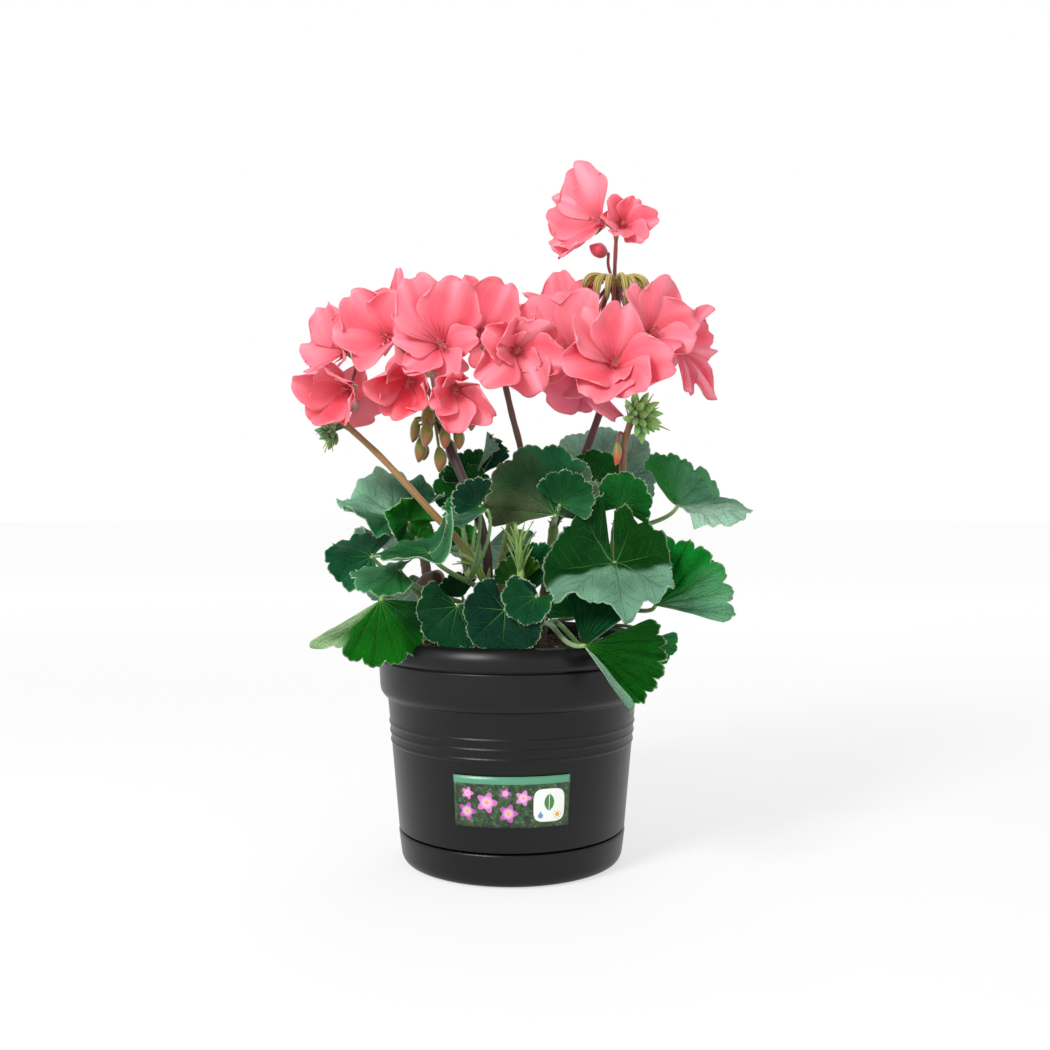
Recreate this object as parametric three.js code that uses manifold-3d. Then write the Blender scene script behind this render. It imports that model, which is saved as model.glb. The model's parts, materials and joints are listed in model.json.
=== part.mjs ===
import * as THREE from 'three';
import { mergeVertices } from 'three/addons/utils/BufferGeometryUtils.js';
import Module from 'manifold-3d';

// A potted geranium in bloom. Millimetres, Z up, X to the viewer's right, Y away from the viewer.
// The pot stands on the Z axis and the saucer's underside is at Z = 0.

const wasm = await Module();
wasm.setup();

// driving dimensions
const gap = 0.3;
const potSides = 24;
const saucerFoot = 58;
const saucerRim = 63.3;
const saucerHeight = 18.2;
const wallFoot = 63;
const wallTop = 69.5;
const bandFoot = 93;
const bandRadius = 74.5;
const lipRadius = 75.5;
const rimTop = 125;
const rimInner = 68;
const soilLevel = 117.5;
const potFloor = 3.3;
const bladeThickness = 0.8;
const petalThickness = 0.7;
const petalLength = 36;
const petalWidth = 27;
const petioleRadius = 1.35;
const pedicelRadius = 0.95;

const vec = (p) => new THREE.Vector3(p[0], p[1], p[2]);
const rad = THREE.MathUtils.degToRad;
const mix = (a, b, t) => a + (b - a) * t;

// A repeatable scatter between 0 and 1.
function chance(n) {
  const s = Math.sin(n * 12.9898 + 4.1414) * 43758.5453;
  return s - Math.floor(s);
}

function solidOf(points, triangles) {
  const vertProperties = new Float32Array(points.flatMap((p) => [p.x, p.y, p.z]));
  const triVerts = new Uint32Array(triangles.flat());
  return new wasm.Manifold(new wasm.Mesh({ numProp: 3, vertProperties, triVerts }));
}

function joined(bodies) {
  return bodies.reduce((a, b) => a.add(b));
}

// Takes a little more than each neighbour out of a body, so that a gap stays between them.
function clearedOf(body, neighbours) {
  let out = body;
  for (const other of neighbours) {
    if (out.intersect(other).volume() > 0.004) out = out.subtract(other);
  }
  return out;
}

function turned(profile, sides) {
  const points = profile.map(([r, z]) => new THREE.Vector2(r, z));
  const geometry = new THREE.LatheGeometry(points, sides);
  geometry.rotateX(Math.PI / 2);
  geometry.deleteAttribute('normal');
  geometry.deleteAttribute('uv');
  const merged = mergeVertices(geometry, 1e-4);
  const kept = [];
  const place = merged.getAttribute('position');
  const index = merged.getIndex();
  for (let i = 0; i < index.count; i += 3) {
    const t = [index.getX(i), index.getX(i + 1), index.getX(i + 2)];
    if (t[0] !== t[1] && t[1] !== t[2] && t[0] !== t[2]) kept.push(t);
  }
  const list = [];
  for (let i = 0; i < place.count; i += 1) {
    list.push(new THREE.Vector3().fromBufferAttribute(place, i));
  }
  const body = solidOf(list, kept);
  return body.volume() > 0 ? body : solidOf(list, kept.map(([a, b, c]) => [a, c, b]));
}

// A closed round bar along a line of points, with a radius at each point.
function bar(points, radii, sides, twist = 0) {
  const count = points.length;
  const heading = points.map((p, i) => {
    const before = points[Math.max(i - 1, 0)];
    const after = points[Math.min(i + 1, count - 1)];
    return new THREE.Vector3().subVectors(after, before).normalize();
  });
  const start = Math.abs(heading[0].z) < 0.86 ? vec([0, 0, 1]) : vec([1, 0, 0]);
  let side = new THREE.Vector3().crossVectors(heading[0], start).normalize();
  const verts = [];
  for (let i = 0; i < count; i += 1) {
    side.addScaledVector(heading[i], -side.dot(heading[i])).normalize();
    const other = new THREE.Vector3().crossVectors(heading[i], side);
    for (let k = 0; k < sides; k += 1) {
      const a = (2 * Math.PI * k) / sides + twist;
      const p = points[i].clone();
      p.addScaledVector(side, Math.cos(a) * radii[i]);
      p.addScaledVector(other, Math.sin(a) * radii[i]);
      verts.push(p);
    }
    side = side.clone();
  }
  const tris = [];
  for (let i = 0; i < count - 1; i += 1) {
    for (let k = 0; k < sides; k += 1) {
      const a = i * sides + k;
      const b = i * sides + ((k + 1) % sides);
      tris.push([a, b, b + sides], [a, b + sides, a + sides]);
    }
  }
  const last = (count - 1) * sides;
  for (let k = 1; k < sides - 1; k += 1) {
    tris.push([0, k + 1, k], [last, last + k, last + k + 1]);
  }
  return solidOf(verts, tris);
}

function along(points, steps) {
  return new THREE.CatmullRomCurve3(points.map(vec)).getPoints(steps);
}

function arc(a, b, c, d, steps) {
  return new THREE.CubicBezierCurve3(a, b, c, d).getPoints(steps);
}

// A thin closed sheet over rows of points; both faces are split into the same triangles.
function sheet(rows, thickness) {
  const starts = [];
  const flat = [];
  for (const row of rows) {
    starts.push(flat.length);
    flat.push(...row);
  }
  const face = [];
  for (let r = 0; r < rows.length - 1; r += 1) {
    const m = rows[r].length;
    const n = rows[r + 1].length;
    let i = 0;
    let j = 0;
    while (i < m - 1 || j < n - 1) {
      const a = starts[r] + i;
      const b = starts[r + 1] + j;
      const nextI = (i + 1) / Math.max(m - 1, 1);
      const nextJ = (j + 1) / Math.max(n - 1, 1);
      if (j === n - 1 || (i < m - 1 && nextI < nextJ)) {
        face.push([a, a + 1, b]);
        i += 1;
      } else {
        face.push([a, b + 1, b]);
        j += 1;
      }
    }
  }
  const normals = flat.map(() => new THREE.Vector3());
  for (const [a, b, c] of face) {
    const u = new THREE.Vector3().subVectors(flat[b], flat[a]);
    const v = new THREE.Vector3().subVectors(flat[c], flat[a]);
    const n = u.cross(v);
    for (const k of [a, b, c]) normals[k].add(n);
  }
  const verts = [];
  for (const sign of [0.5, -0.5]) {
    flat.forEach((p, k) => {
      verts.push(p.clone().addScaledVector(normals[k].clone().normalize(), sign * thickness));
    });
  }
  const lift = flat.length;
  const tris = [];
  for (const [a, b, c] of face) {
    tris.push([a, b, c], [a + lift, c + lift, b + lift]);
  }
  const lastRow = rows.length - 1;
  const loop = rows[0].map((p, k) => k);
  for (let r = 1; r < lastRow; r += 1) loop.push(starts[r] + rows[r].length - 1);
  for (let k = rows[lastRow].length - 1; k >= 0; k -= 1) loop.push(starts[lastRow] + k);
  for (let r = lastRow - 1; r > 0; r -= 1) loop.push(starts[r]);
  for (let k = 0; k < loop.length; k += 1) {
    const a = loop[k];
    const b = loop[(k + 1) % loop.length];
    tris.push([b, a, a + lift], [b, a + lift, b + lift]);
  }
  const body = solidOf(verts, tris);
  return body.volume() > 0 ? body : solidOf(verts, tris.map(([a, b, c]) => [a, c, b]));
}

// Leaf blade: seven lobes round the point where the petiole meets it, open behind that point.
function leafReach(angle, span) {
  const lobe = ((angle + span) / (2 * span)) * 7;
  const inLobe = lobe - Math.floor(lobe);
  const notch = 1 - 0.09 * Math.abs(2 * inLobe - 1) ** 2.5;
  return (0.86 + 0.14 * Math.cos(rad(angle))) * notch;
}

// How far a fold has turned at a share of the leaf's length from the crease.
function turnAt(share) {
  return Math.min((1.3 * share) / (share + 0.3), 1.1);
}

function leafPoint(leaf, angle, share) {
  const f = leaf.form;
  const uneven = 1 + f.skew * Math.sin(rad(angle));
  const reach = leafReach(angle, f.span) * leaf.size * share * uneven;
  const x = reach * Math.cos(rad(angle));
  const y = reach * Math.sin(rad(angle));
  let z = leaf.size * (f.cup * share ** 2);
  z += leaf.size * f.wave * share ** 1.6 * Math.sin(rad(angle * f.waves + f.phase));
  const sideTurn = rad(y > 0 ? f.left : f.right) * turnAt(Math.abs(y) / leaf.size);
  const longTurn = rad(x > 0 ? f.tip : f.back) * turnAt(Math.abs(x) / leaf.size);
  z += Math.abs(y) * Math.sin(sideTurn) + Math.abs(x) * Math.sin(longTurn);
  return [x * Math.cos(longTurn), y * Math.cos(sideTurn), z];
}

function frameOf(along_, up_) {
  const t = vec(along_).normalize();
  const n = vec(up_);
  n.addScaledVector(t, -n.dot(t)).normalize();
  const s = new THREE.Vector3().crossVectors(n, t);
  return { t, n, s };
}

function placed(base, frame, p) {
  const out = base.clone();
  out.addScaledVector(frame.t, p[0]);
  out.addScaledVector(frame.s, p[1]);
  return out.addScaledVector(frame.n, p[2]);
}

const flatForm = {
  span: 158, skew: 0, cup: 0.02, wave: 0.08, waves: 2.6, phase: 0, left: 8, right: 8, tip: -12, back: 14,
};

function petiole(leaf, start, steps) {
  const at = vec(leaf.at);
  const { t, n } = frameOf(leaf.tip, leaf.face);
  const reach = at.distanceTo(start);
  const arrive = t.clone().multiplyScalar(0.5).addScaledVector(n, 0.85).normalize();
  const out = new THREE.Vector3().subVectors(at, start).setZ(0).normalize();
  const first = start.clone().addScaledVector(out, reach * 0.25);
  first.z += reach * (leaf.form.rise ?? 0.2);
  const second = at.clone().addScaledVector(arrive, -reach * 0.3);
  return arc(start, first, second, at.clone().addScaledVector(n, 0.25), steps);
}

function leafBody(leaf, start) {
  const at = vec(leaf.at);
  const frame = frameOf(leaf.tip, leaf.face);
  const form = leaf.form;
  const ring = (share, count) => {
    const row = [];
    for (let k = 0; k < count; k += 1) {
      const angle = mix(-form.span, form.span, k / (count - 1));
      row.push(placed(at, frame, leafPoint(leaf, angle, share)));
    }
    return row;
  };
  const outer = form.points ?? (leaf.size > 28 ? 18 : 13);
  const inner = leaf.size > 25 ? 6 : 4;
  const blade = sheet([[at.clone()], ring(0.52, inner), ring(1, outer)], bladeThickness);
  const line = petiole(leaf, start, form.on ? 2 : 3);
  const thick = petioleRadius * (leaf.size > 25 ? 1 : 0.75);
  const radii = line.map((p, k) => thick * mix(1.25, 0.8, k / (line.length - 1)));
  return blade.add(bar(line, radii, 4));
}

// Petal: a narrow claw that opens into a broad round end.
function petalHalfWidth(t) {
  if (t < 0.66) return 0.08 + 0.92 * Math.sin((0.5 * Math.PI * t) / 0.66) ** 1.7;
  return 1 - 0.19 * ((t - 0.66) / 0.34) ** 2;
}

function petalPoint(petal, t, s) {
  const { length, width, open, throat, cup, curl, wave, phase, tilt } = petal;
  const a0 = rad(throat);
  const a1 = rad(open);
  const k = 0.3;
  const u = t * (1 - 0.3 * Math.abs(s) ** 3.2 * t * t);
  const b1 = [length * k * Math.cos(a0), length * k * Math.sin(a0)];
  const b2 = [
    b1[0] + length * (1 - k) * Math.cos(a1),
    b1[1] + length * (1 - k) * Math.sin(a1),
  ];
  const forward = 2 * u * (1 - u) * b1[0] + u * u * b2[0];
  const outward = 2 * u * (1 - u) * b1[1] + u * u * b2[1];
  const df = 2 * (1 - u) * b1[0] + 2 * u * (b2[0] - b1[0]);
  const dr = 2 * (1 - u) * b1[1] + 2 * u * (b2[1] - b1[1]);
  const size = Math.hypot(df, dr);
  const half = (width / 2) * petalHalfWidth(t);
  const lift = cup * width * s * s * t + curl * length * u ** 3
    + wave * width * u * u * Math.sin(3.3 * s + phase) + tilt * s * half;
  return {
    forward: forward + (lift * dr) / size,
    outward: 2.2 + outward - (lift * df) / size,
    across: s * half,
  };
}

const petalRows = [
  [0, [0]],
  [0.36, [-1, 1]],
  [0.72, [-1, 1]],
  [1, [-1, -0.4, 0.4, 1]],
];

// A petal row holds its turn round the eye, its length and width shares and what it adds to the openness.
const fivePetals = [
  [-33, 1, 1, 0], [33, 1, 1, 0], [-105, 0.9, 1, 0], [105, 0.9, 1, 0], [180, 0.88, 1, 0],
];
const fourPetals = fivePetals.slice(0, 4);

function petalsOf(floret) {
  return floret.petals.map(([turn, long, wide, lean], k) => {
    const n = floret.seed * 17 + k * 3;
    return {
      turn: turn + (chance(n) - 0.5) * 8,
      length: petalLength * floret.size * long * mix(0.95, 1.05, chance(n + 1)),
      width: petalWidth * floret.size * wide * mix(0.92, 1.06, chance(n + 2)) * Math.min(long + 0.1, 1),
      open: floret.open + lean + (chance(n + 3) - 0.5) * 5,
      throat: floret.throat ?? 28,
      cup: (floret.cup ?? 0.1) + (chance(n + 4) - 0.5) * 0.06,
      curl: -0.04 + (chance(n + 5) - 0.5) * 0.12,
      wave: 0.05,
      tilt: 0.55,
      phase: chance(n + 6) * 6.28,
    };
  });
}

function floretFrame(floret) {
  const a = vec(floret.face).normalize();
  const up = Math.abs(a.z) > 0.95 ? vec([0, 1, 0]) : vec([0, 0, 1]);
  up.addScaledVector(a, -up.dot(a)).normalize();
  const side = new THREE.Vector3().crossVectors(up, a);
  return { a, up, side };
}

function floretBody(floret) {
  const { a, up, side } = floretFrame(floret);
  const eye = vec(floret.at);
  const bodies = petalsOf(floret).map((petal) => {
    const turn = rad(petal.turn);
    const p = up.clone().multiplyScalar(Math.cos(turn)).addScaledVector(side, Math.sin(turn));
    const q = new THREE.Vector3().crossVectors(a, p);
    const rows = petalRows.map(([t, list]) => list.map((s) => {
      const at = petalPoint(petal, t, s);
      const out = eye.clone().addScaledVector(a, at.forward - 3);
      return out.addScaledVector(p, at.outward).addScaledVector(q, at.across);
    }));
    return sheet(rows, petalThickness);
  });
  const back = eye.clone().addScaledVector(a, -4.2);
  const front = eye.clone().addScaledVector(a, 0.5);
  return joined([bar([back, front], [3.3, 3.5], 4), ...bodies]);
}

// pot, saucer, soil and label

const wallAt = (z) => mix(wallFoot, wallTop, (z - 19.2) / (bandFoot - 19.2));
const rings = [67.4, 72.5, 77.6].flatMap((z) => [
  [wallAt(z) - 0.1, z - 1],
  [wallAt(z) + 0.7, z],
  [wallAt(z) - 0.1, z + 1],
]);

const pot = turned([
  [0, potFloor],
  [saucerFoot - 1.5, potFloor],
  [59.2, 6],
  [60.2, 19],
  [wallFoot, 19.2],
  ...rings,
  [wallTop, bandFoot - 0.4],
  [72.4, bandFoot + 0.6],
  [73.6, bandFoot + 3],
  [bandRadius, 111.4],
  [lipRadius, 112.3],
  [75.3, 115],
  [73.6, 119.8],
  [71.2, 123.4],
  [69.5, rimTop],
  [rimInner, rimTop - 0.6],
  [66.8, 92],
  [60.2, 21],
  [56.5, 6],
  [0, 6],
], potSides);

const saucer = turned([
  [0, 0],
  [saucerFoot, 0],
  [60.4, 1.4],
  [61.4, 4],
  [saucerRim - 0.1, 17.2],
  [saucerRim - 0.5, saucerHeight],
  [61.4, saucerHeight],
  [60.9, 17],
  [59.8, 4.6],
  [58.6, potFloor - gap],
  [0, potFloor - gap],
], potSides);

// stems: points, foot radius, top radius
const stems = {
  stem_centre: [[[-10, -6, 106], [-12, -9, 132], [-13.6, -15, 158]], 4.6, 3.6],
  stem_left: [[[-34, 4, 106], [-42, 6, 130], [-47, 4, 152], [-52, 8, 178]], 5.2, 2.2],
  stem_mid: [[[14, 8, 106], [18, 8, 140], [22, 6, 170], [24, 8, 188]], 3.8, 2.5],
  stem_right: [[[40, -2, 106], [48, -2, 135], [56, 0, 165], [60, 2, 190]], 4.2, 2.5],
  young_shoot: [[[6, -22, 106], [6, -24, 135], [5, -23, 160], [4, -22, 176]], 2.6, 1.6],
  stem_back: [[[-4, 36, 106], [-8, 42, 140], [-4, 43, 172], [1, 34, 192]], 4.2, 2.6],
};

function stemBody([points, foot, top], grow) {
  const line = along(points, 5);
  const last = line.length - 1;
  const knots = line.map((p, k) => mix(foot, top, k / last) * (k % 3 === 1 ? 1.1 : 1) + grow);
  if (grow > 0) {
    const tip = new THREE.Vector3().subVectors(line[last], line[last - 1]).normalize();
    line[last].addScaledVector(tip, grow);
    line[0].z -= grow;
  }
  return bar(line, knots, 6);
}

const stemSolids = {};
const stemRoom = [];
for (const [name, spec] of Object.entries(stems)) {
  stemSolids[name] = stemBody(spec, 0);
  stemRoom.push(stemBody(spec, gap));
}

function onStem(name, share) {
  return new THREE.CatmullRomCurve3(stems[name][0].map(vec)).getPoint(share);
}

const soilPlug = turned([
  [0, 6.3],
  [56.2, 6.3],
  [59.9, 21.2],
  [66.4, 92.2],
  [67.2, soilLevel - 1.5],
  [0, soilLevel + 1.4],
], potSides);
const soil = clearedOf(soilPlug, stemRoom);

function labelBody() {
  const rows = [];
  for (let r = 0; r < 2; r += 1) {
    const z = mix(33, 59.5, r);
    const row = [];
    for (let c = 0; c < 9; c += 1) {
      const angle = rad(mix(-26, 27, c / 8));
      const radius = wallAt(z) + gap + 0.5;
      row.push(vec([radius * Math.sin(angle), -radius * Math.cos(angle), z]));
    }
    rows.push(row);
  }
  return sheet(rows, 0.7);
}

// flower stalks: points from the stem up to where the flower stalklets part, radii
const stalks = {
  flower_stalk_left: [
    [[-14, -15, 154], [-28, -18, 176], [-45, -20, 195], [-72, -19, 224], [-94, -15, 244]], 2.3, 1.7],
  flower_stalk_centre_left: [
    [[-13, -14, 154], [-14, -17, 174], [-18, -18, 190], [-30, -14, 219], [-43, -8, 249]], 3, 2.4],
  flower_stalk_centre: [
    [[1, 34, 190], [6, 22, 208], [5, 9, 228], [0, 5, 248], [-5, 3, 270]], 2, 1.8],
  flower_stalk_right: [
    [[24, 8, 186], [33, 8, 207], [42, 8, 228], [50, 8, 250], [62, 6, 286], [58, 4, 322]], 2.6, 1.9],
  flower_stalk_far_right: [
    [[60, 2, 188], [61.5, -3, 210], [63, -5, 232], [67, -7, 246]], 2.2, 1.9],
};

// florets: stalk, eye, facing, size, openness, petals
const florets = [
  ['floret_a', 'flower_stalk_left', [-88.5, -32, 259.5], [-0.58, -0.72, -0.38], 0.74, 46,
    [[-60, 1.1, 1.1, 0], [12, 0.88, 1.1, -4], [-125, 1.05, 1.1, 0], [80, 0.72, 0.95, -4],
      [150, 0.85, 1, -4]], {}],
  ['floret_b', 'flower_stalk_left', [-96, -2, 284], [-0.7, -0.6, 0.35], 0.84, 60,
    [[-20, 1, 1.1, 0], [42, 0.8, 1, 0], [-85, 1, 1.1, 8], [-150, 0.8, 1, 12],
      [110, 0.7, 0.9, 6]], {}],
  ['floret_c', 'flower_stalk_centre_left', [-68, -20, 289], [-0.4, -0.86, 0.2], 0.84, 58,
    [[-32, 1.05, 1.15, 0], [36, 0.95, 1.1, 0], [-98, 0.9, 1.1, -8], [104, 0.8, 1, -18],
      [178, 0.95, 1.2, -20]], {}],
  ['floret_d', 'flower_stalk_centre_left', [-68, 12, 306], [-0.25, -0.3, 0.9], 0.72, 52, fivePetals, {}],
  ['floret_e', 'flower_stalk_centre_left', [-37, -42, 282], [-0.06, -0.98, 0.16], 1.15, 82,
    [[-23, 1, 0.95, 0], [21, 1, 0.95, 0], [-80, 0.66, 0.8, -8], [-136, 0.64, 0.8, -16]], { cup: 0.04 }],
  ['floret_f', 'flower_stalk_centre_left', [-54, -40, 263], [-0.2, -0.8, -0.5], 0.62, 50,
    [[-75, 1.12, 1.15, 0], [-8, 0.8, 1.05, -6], [62, 0.85, 1.05, -2], [128, 0.85, 1.1, -2],
      [-142, 1.05, 1.15, 0]], { throat: 36, on: 'floret_e' }],
  ['floret_g', 'flower_stalk_centre_left', [-29, -50, 258], [0.05, -0.85, -0.45], 0.68, 58,
    [[-62, 0.68, 0.95, -12], [0, 0.62, 0.95, -12], [62, 0.66, 0.95, -12], [122, 1.15, 1.1, 6],
      [176, 0.95, 1, 2], [-130, 0.72, 0.95, -6]], {}],
  ['floret_h', 'flower_stalk_centre', [-17, -22, 289], [0.02, -0.85, 0.5], 0.98, 70,
    [[-23, 1.05, 0.98, 0], [24, 1.1, 1.02, 0], [-98, 0.6, 0.8, -16]], {}],
  ['floret_i', 'flower_stalk_centre', [3, -42, 279], [0.25, -0.92, -0.05], 0.72, 74,
    [[-65, 0.9, 1.1, 0], [-8, 0.85, 1.1, -8], [50, 0.95, 1.1, -4], [104, 1, 1.1, 0],
      [158, 1.05, 1.1, 0], [-135, 1.05, 1.1, 0]], {}],
  ['floret_j', 'flower_stalk_right', [31, -18, 282], [-0.4, -0.87, 0.25], 0.9, 74,
    [[-14, 1.15, 1.05, 0], [-62, 0.95, 1, -4], [-112, 0.88, 1, 0], [-165, 0.85, 1, 0]], {}],
  ['floret_k', 'flower_stalk_right', [30, 19, 305], [-0.35, -0.3, 0.88], 0.78, 56,
    [[-33, 1, 1, 0], [33, 0.9, 1, 0], [-105, 0.95, 1, 0], [180, 0.85, 1, 0]], {}],
  ['floret_l', 'flower_stalk_right', [54, -44, 272], [0.02, -0.95, 0.25], 0.98, 80,
    [[-34, 1.02, 1, 0], [6, 1.02, 1, 0], [-92, 0.8, 0.95, -26], [-150, 0.78, 1, -32],
      [150, 0.76, 1, -32], [88, 0.88, 0.95, -16]], {}],
  ['floret_m', 'flower_stalk_right', [76, -22, 291], [0.45, -0.78, 0.42], 0.88, 68,
    [[22, 1.1, 1.15, 0], [78, 0.95, 1.1, 0], [-36, 0.74, 0.9, -6], [130, 0.85, 1, -4],
      [180, 0.75, 1, -8]], {}],
  ['floret_n', 'flower_stalk_right', [94, 0, 286], [0.8, -0.55, 0.1], 0.8, 68,
    [[-20, 0.85, 1, 0], [34, 0.9, 1.05, 0], [90, 0.85, 1, 2], [138, 1.2, 0.85, 10],
      [-170, 1.15, 0.8, 12]], {}],
  ['floret_o', 'flower_stalk_right', [40, -4, 265], [-0.25, -0.35, -0.9], 0.76, 62,
    [[-70, 1, 1, 0], [-132, 0.95, 1, 0], [62, 1.1, 1.1, 0], [128, 1.1, 1, 0],
      [180, 0.95, 1, 0]], {}],
  ['floret_p', 'flower_stalk_right', [49, -3, 356], [-0.8, -0.58, 0.1], 1, 66,
    [[-24, 1.05, 0.95, 12], [-64, 0.92, 1.1, 2], [-104, 0.88, 1.05, -6], [-142, 0.86, 1, -14]], {}],
  ['floret_q', 'flower_stalk_right', [62, -8, 354], [0.25, -0.92, 0.2], 0.5, 54,
    [[-38, 0.95, 1.1, 0], [26, 0.95, 1.1, 0], [84, 1.15, 1.1, 4], [140, 0.95, 1.1, 0],
      [-98, 0.85, 1, 0], [-160, 0.85, 1, 0]], {}],
  ['floret_r', 'flower_stalk_centre_left', [-50, 38, 277], [-0.2, 0.9, 0.4], 0.86, 74, fourPetals, {}],
  ['floret_s', 'flower_stalk_left', [-94, 18, 255], [-0.55, 0.83, 0.1], 0.82, 70, fourPetals, {}],
  ['floret_t', 'flower_stalk_centre', [-5, 34, 288], [0.1, 0.85, 0.5], 0.88, 74, fourPetals, {}],
  ['floret_u', 'flower_stalk_right', [72, 36, 286], [0.35, 0.88, 0.25], 0.9, 74, fourPetals, {}],
].map(([name, stalk, at, face, size, open, petals, more], k) => ({
  name, stalk, at, face, size, open, petals, seed: k + 1, ...more,
}));

function stalkEnd(name) {
  return vec(stalks[name][0].at(-1));
}

function pedicel(floret, grow) {
  const { a } = floretFrame(floret);
  const hub = stalkEnd(floret.stalk);
  const end = vec(floret.at).addScaledVector(a, -5);
  const reach = hub.distanceTo(end);
  const first = hub.clone().addScaledVector(vec([0, 0, 1]), reach * 0.25);
  first.addScaledVector(new THREE.Vector3().subVectors(end, hub), 0.15);
  const second = end.clone().addScaledVector(a, -reach * 0.35);
  const line = arc(hub, first, second, end, 2);
  line[2].addScaledVector(new THREE.Vector3().subVectors(line[2], line[1]).normalize(), grow);
  const radii = [1, 1, 1.9].map((r) => r * pedicelRadius + grow);
  return bar(line, radii, 3);
}

// One half-open bud hangs beside the far right stalk.
function hangingBud(grow) {
  const line = [[62.8, -5, 236], [60, -9, 237.5], [58, -10.5, 229], [57.6, -10.5, 221]].map(vec);
  return bar(line, [0.8, 0.8, 2.9, 0.5].map((r) => r + grow), 5);
}

function stalkCore([points, foot, top], grow) {
  const line = along(points, points.length * 2 - 1);
  const last = line.length - 1;
  const radii = line.map((p, k) => mix(foot, top, k / last) + grow);
  radii[last] += 1.3;
  return bar(line, radii, 5);
}

// bud clusters: stalk, share of its height, root, heading, spread, count, stalklet, bud length, bud radius
const clusters = {
  buds_left: [
    'flower_stalk_left', 0.97, [-98, -15, 239.5], [-0.55, -0.35, -0.55], 1.45, 5, 4.5, 8, 2.3],
  buds_far_right: [
    'flower_stalk_far_right', 0.9, [70, -9, 246], [0.45, -0.45, 0.1], 1.6, 8, 6, 9.5, 2.6],
  buds_drooping: [
    'flower_stalk_centre_left', 0.97, [-43, -12, 246], [0.15, -0.5, -0.8], 1.0, 5, 7, 12.5, 3.0],
};

// One red bud stands on its own stalklet under the topmost florets.
const topBud = [54, -5, 338];

function topStalklet(grow) {
  const hub = stalkEnd('flower_stalk_right');
  const end = vec(topBud);
  const line = [hub, end.clone().lerp(hub, 0.4).add(vec([-1.5, 0, 0])), end.setZ(end.z + grow)];
  return bar(line, [1, 1, 1.2].map((r) => r * pedicelRadius + grow), 4);
}

function bud(root, heading, stalklet, length, radius) {
  const line = [0, stalklet + length * 0.45, stalklet + length]
    .map((d) => root.clone().addScaledVector(heading, d));
  return bar(line, [0.6, radius, 0.3], 4);
}

function clusterBody([stalk, share, root, heading, spread, count, stalklet, length, radius], seed) {
  const base = vec(root);
  const foot = new THREE.CatmullRomCurve3(stalks[stalk][0].map(vec)).getPoint(share);
  const bodies = [bar([foot, base, base.clone().addScaledVector(vec(heading), 3)], [1.7, 2.2, 1.8], 4)];
  for (let k = 0; k < count; k += 1) {
    const n = seed * 31 + k * 5;
    const turn = (k / count) * Math.PI * 2 * 1.618;
    const lean = spread * Math.sqrt((k + 0.5) / count);
    const main = vec(heading).normalize();
    const side = new THREE.Vector3().crossVectors(main, vec([0.3, 0.9, 0.2])).normalize();
    const other = new THREE.Vector3().crossVectors(main, side);
    const way = main.clone().multiplyScalar(Math.cos(lean));
    way.addScaledVector(side, Math.sin(lean) * Math.cos(turn));
    way.addScaledVector(other, Math.sin(lean) * Math.sin(turn));
    const size = mix(0.8, 1.15, chance(n));
    bodies.push(bud(base, way, stalklet * mix(0.6, 1.2, chance(n + 1)), length * size, radius * size));
  }
  return joined(bodies);
}

// Spent flowers hang in a ring of arcs under the top of the right stalk.
function spentBody(hub) {
  const top = hub.clone();
  const bodies = [bar([top.clone().setZ(top.z - 2), top.clone().setZ(top.z + 3)], [4.4, 3.6], 5)];
  const count = 6;
  for (let k = 0; k < count; k += 1) {
    const turn = (k / count) * Math.PI * 2 + 0.3;
    const out = vec([Math.cos(turn), Math.sin(turn), 0]);
    const reach = mix(15, 21, chance(k + 7));
    const start = top.clone().setZ(top.z + 1.5);
    const high = start.clone().addScaledVector(out, reach * 0.5).setZ(top.z + mix(5, 8, chance(k)));
    const far = start.clone().addScaledVector(out, reach).setZ(top.z + 4.5);
    const tip = start.clone().addScaledVector(out, reach * 0.95).setZ(top.z - mix(3, 7, chance(k + 3)));
    bodies.push(bar(arc(start, high, far, tip, 3), [1, 1.3, 1.7, 0.5], 3));
  }
  return joined(bodies);
}

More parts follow.
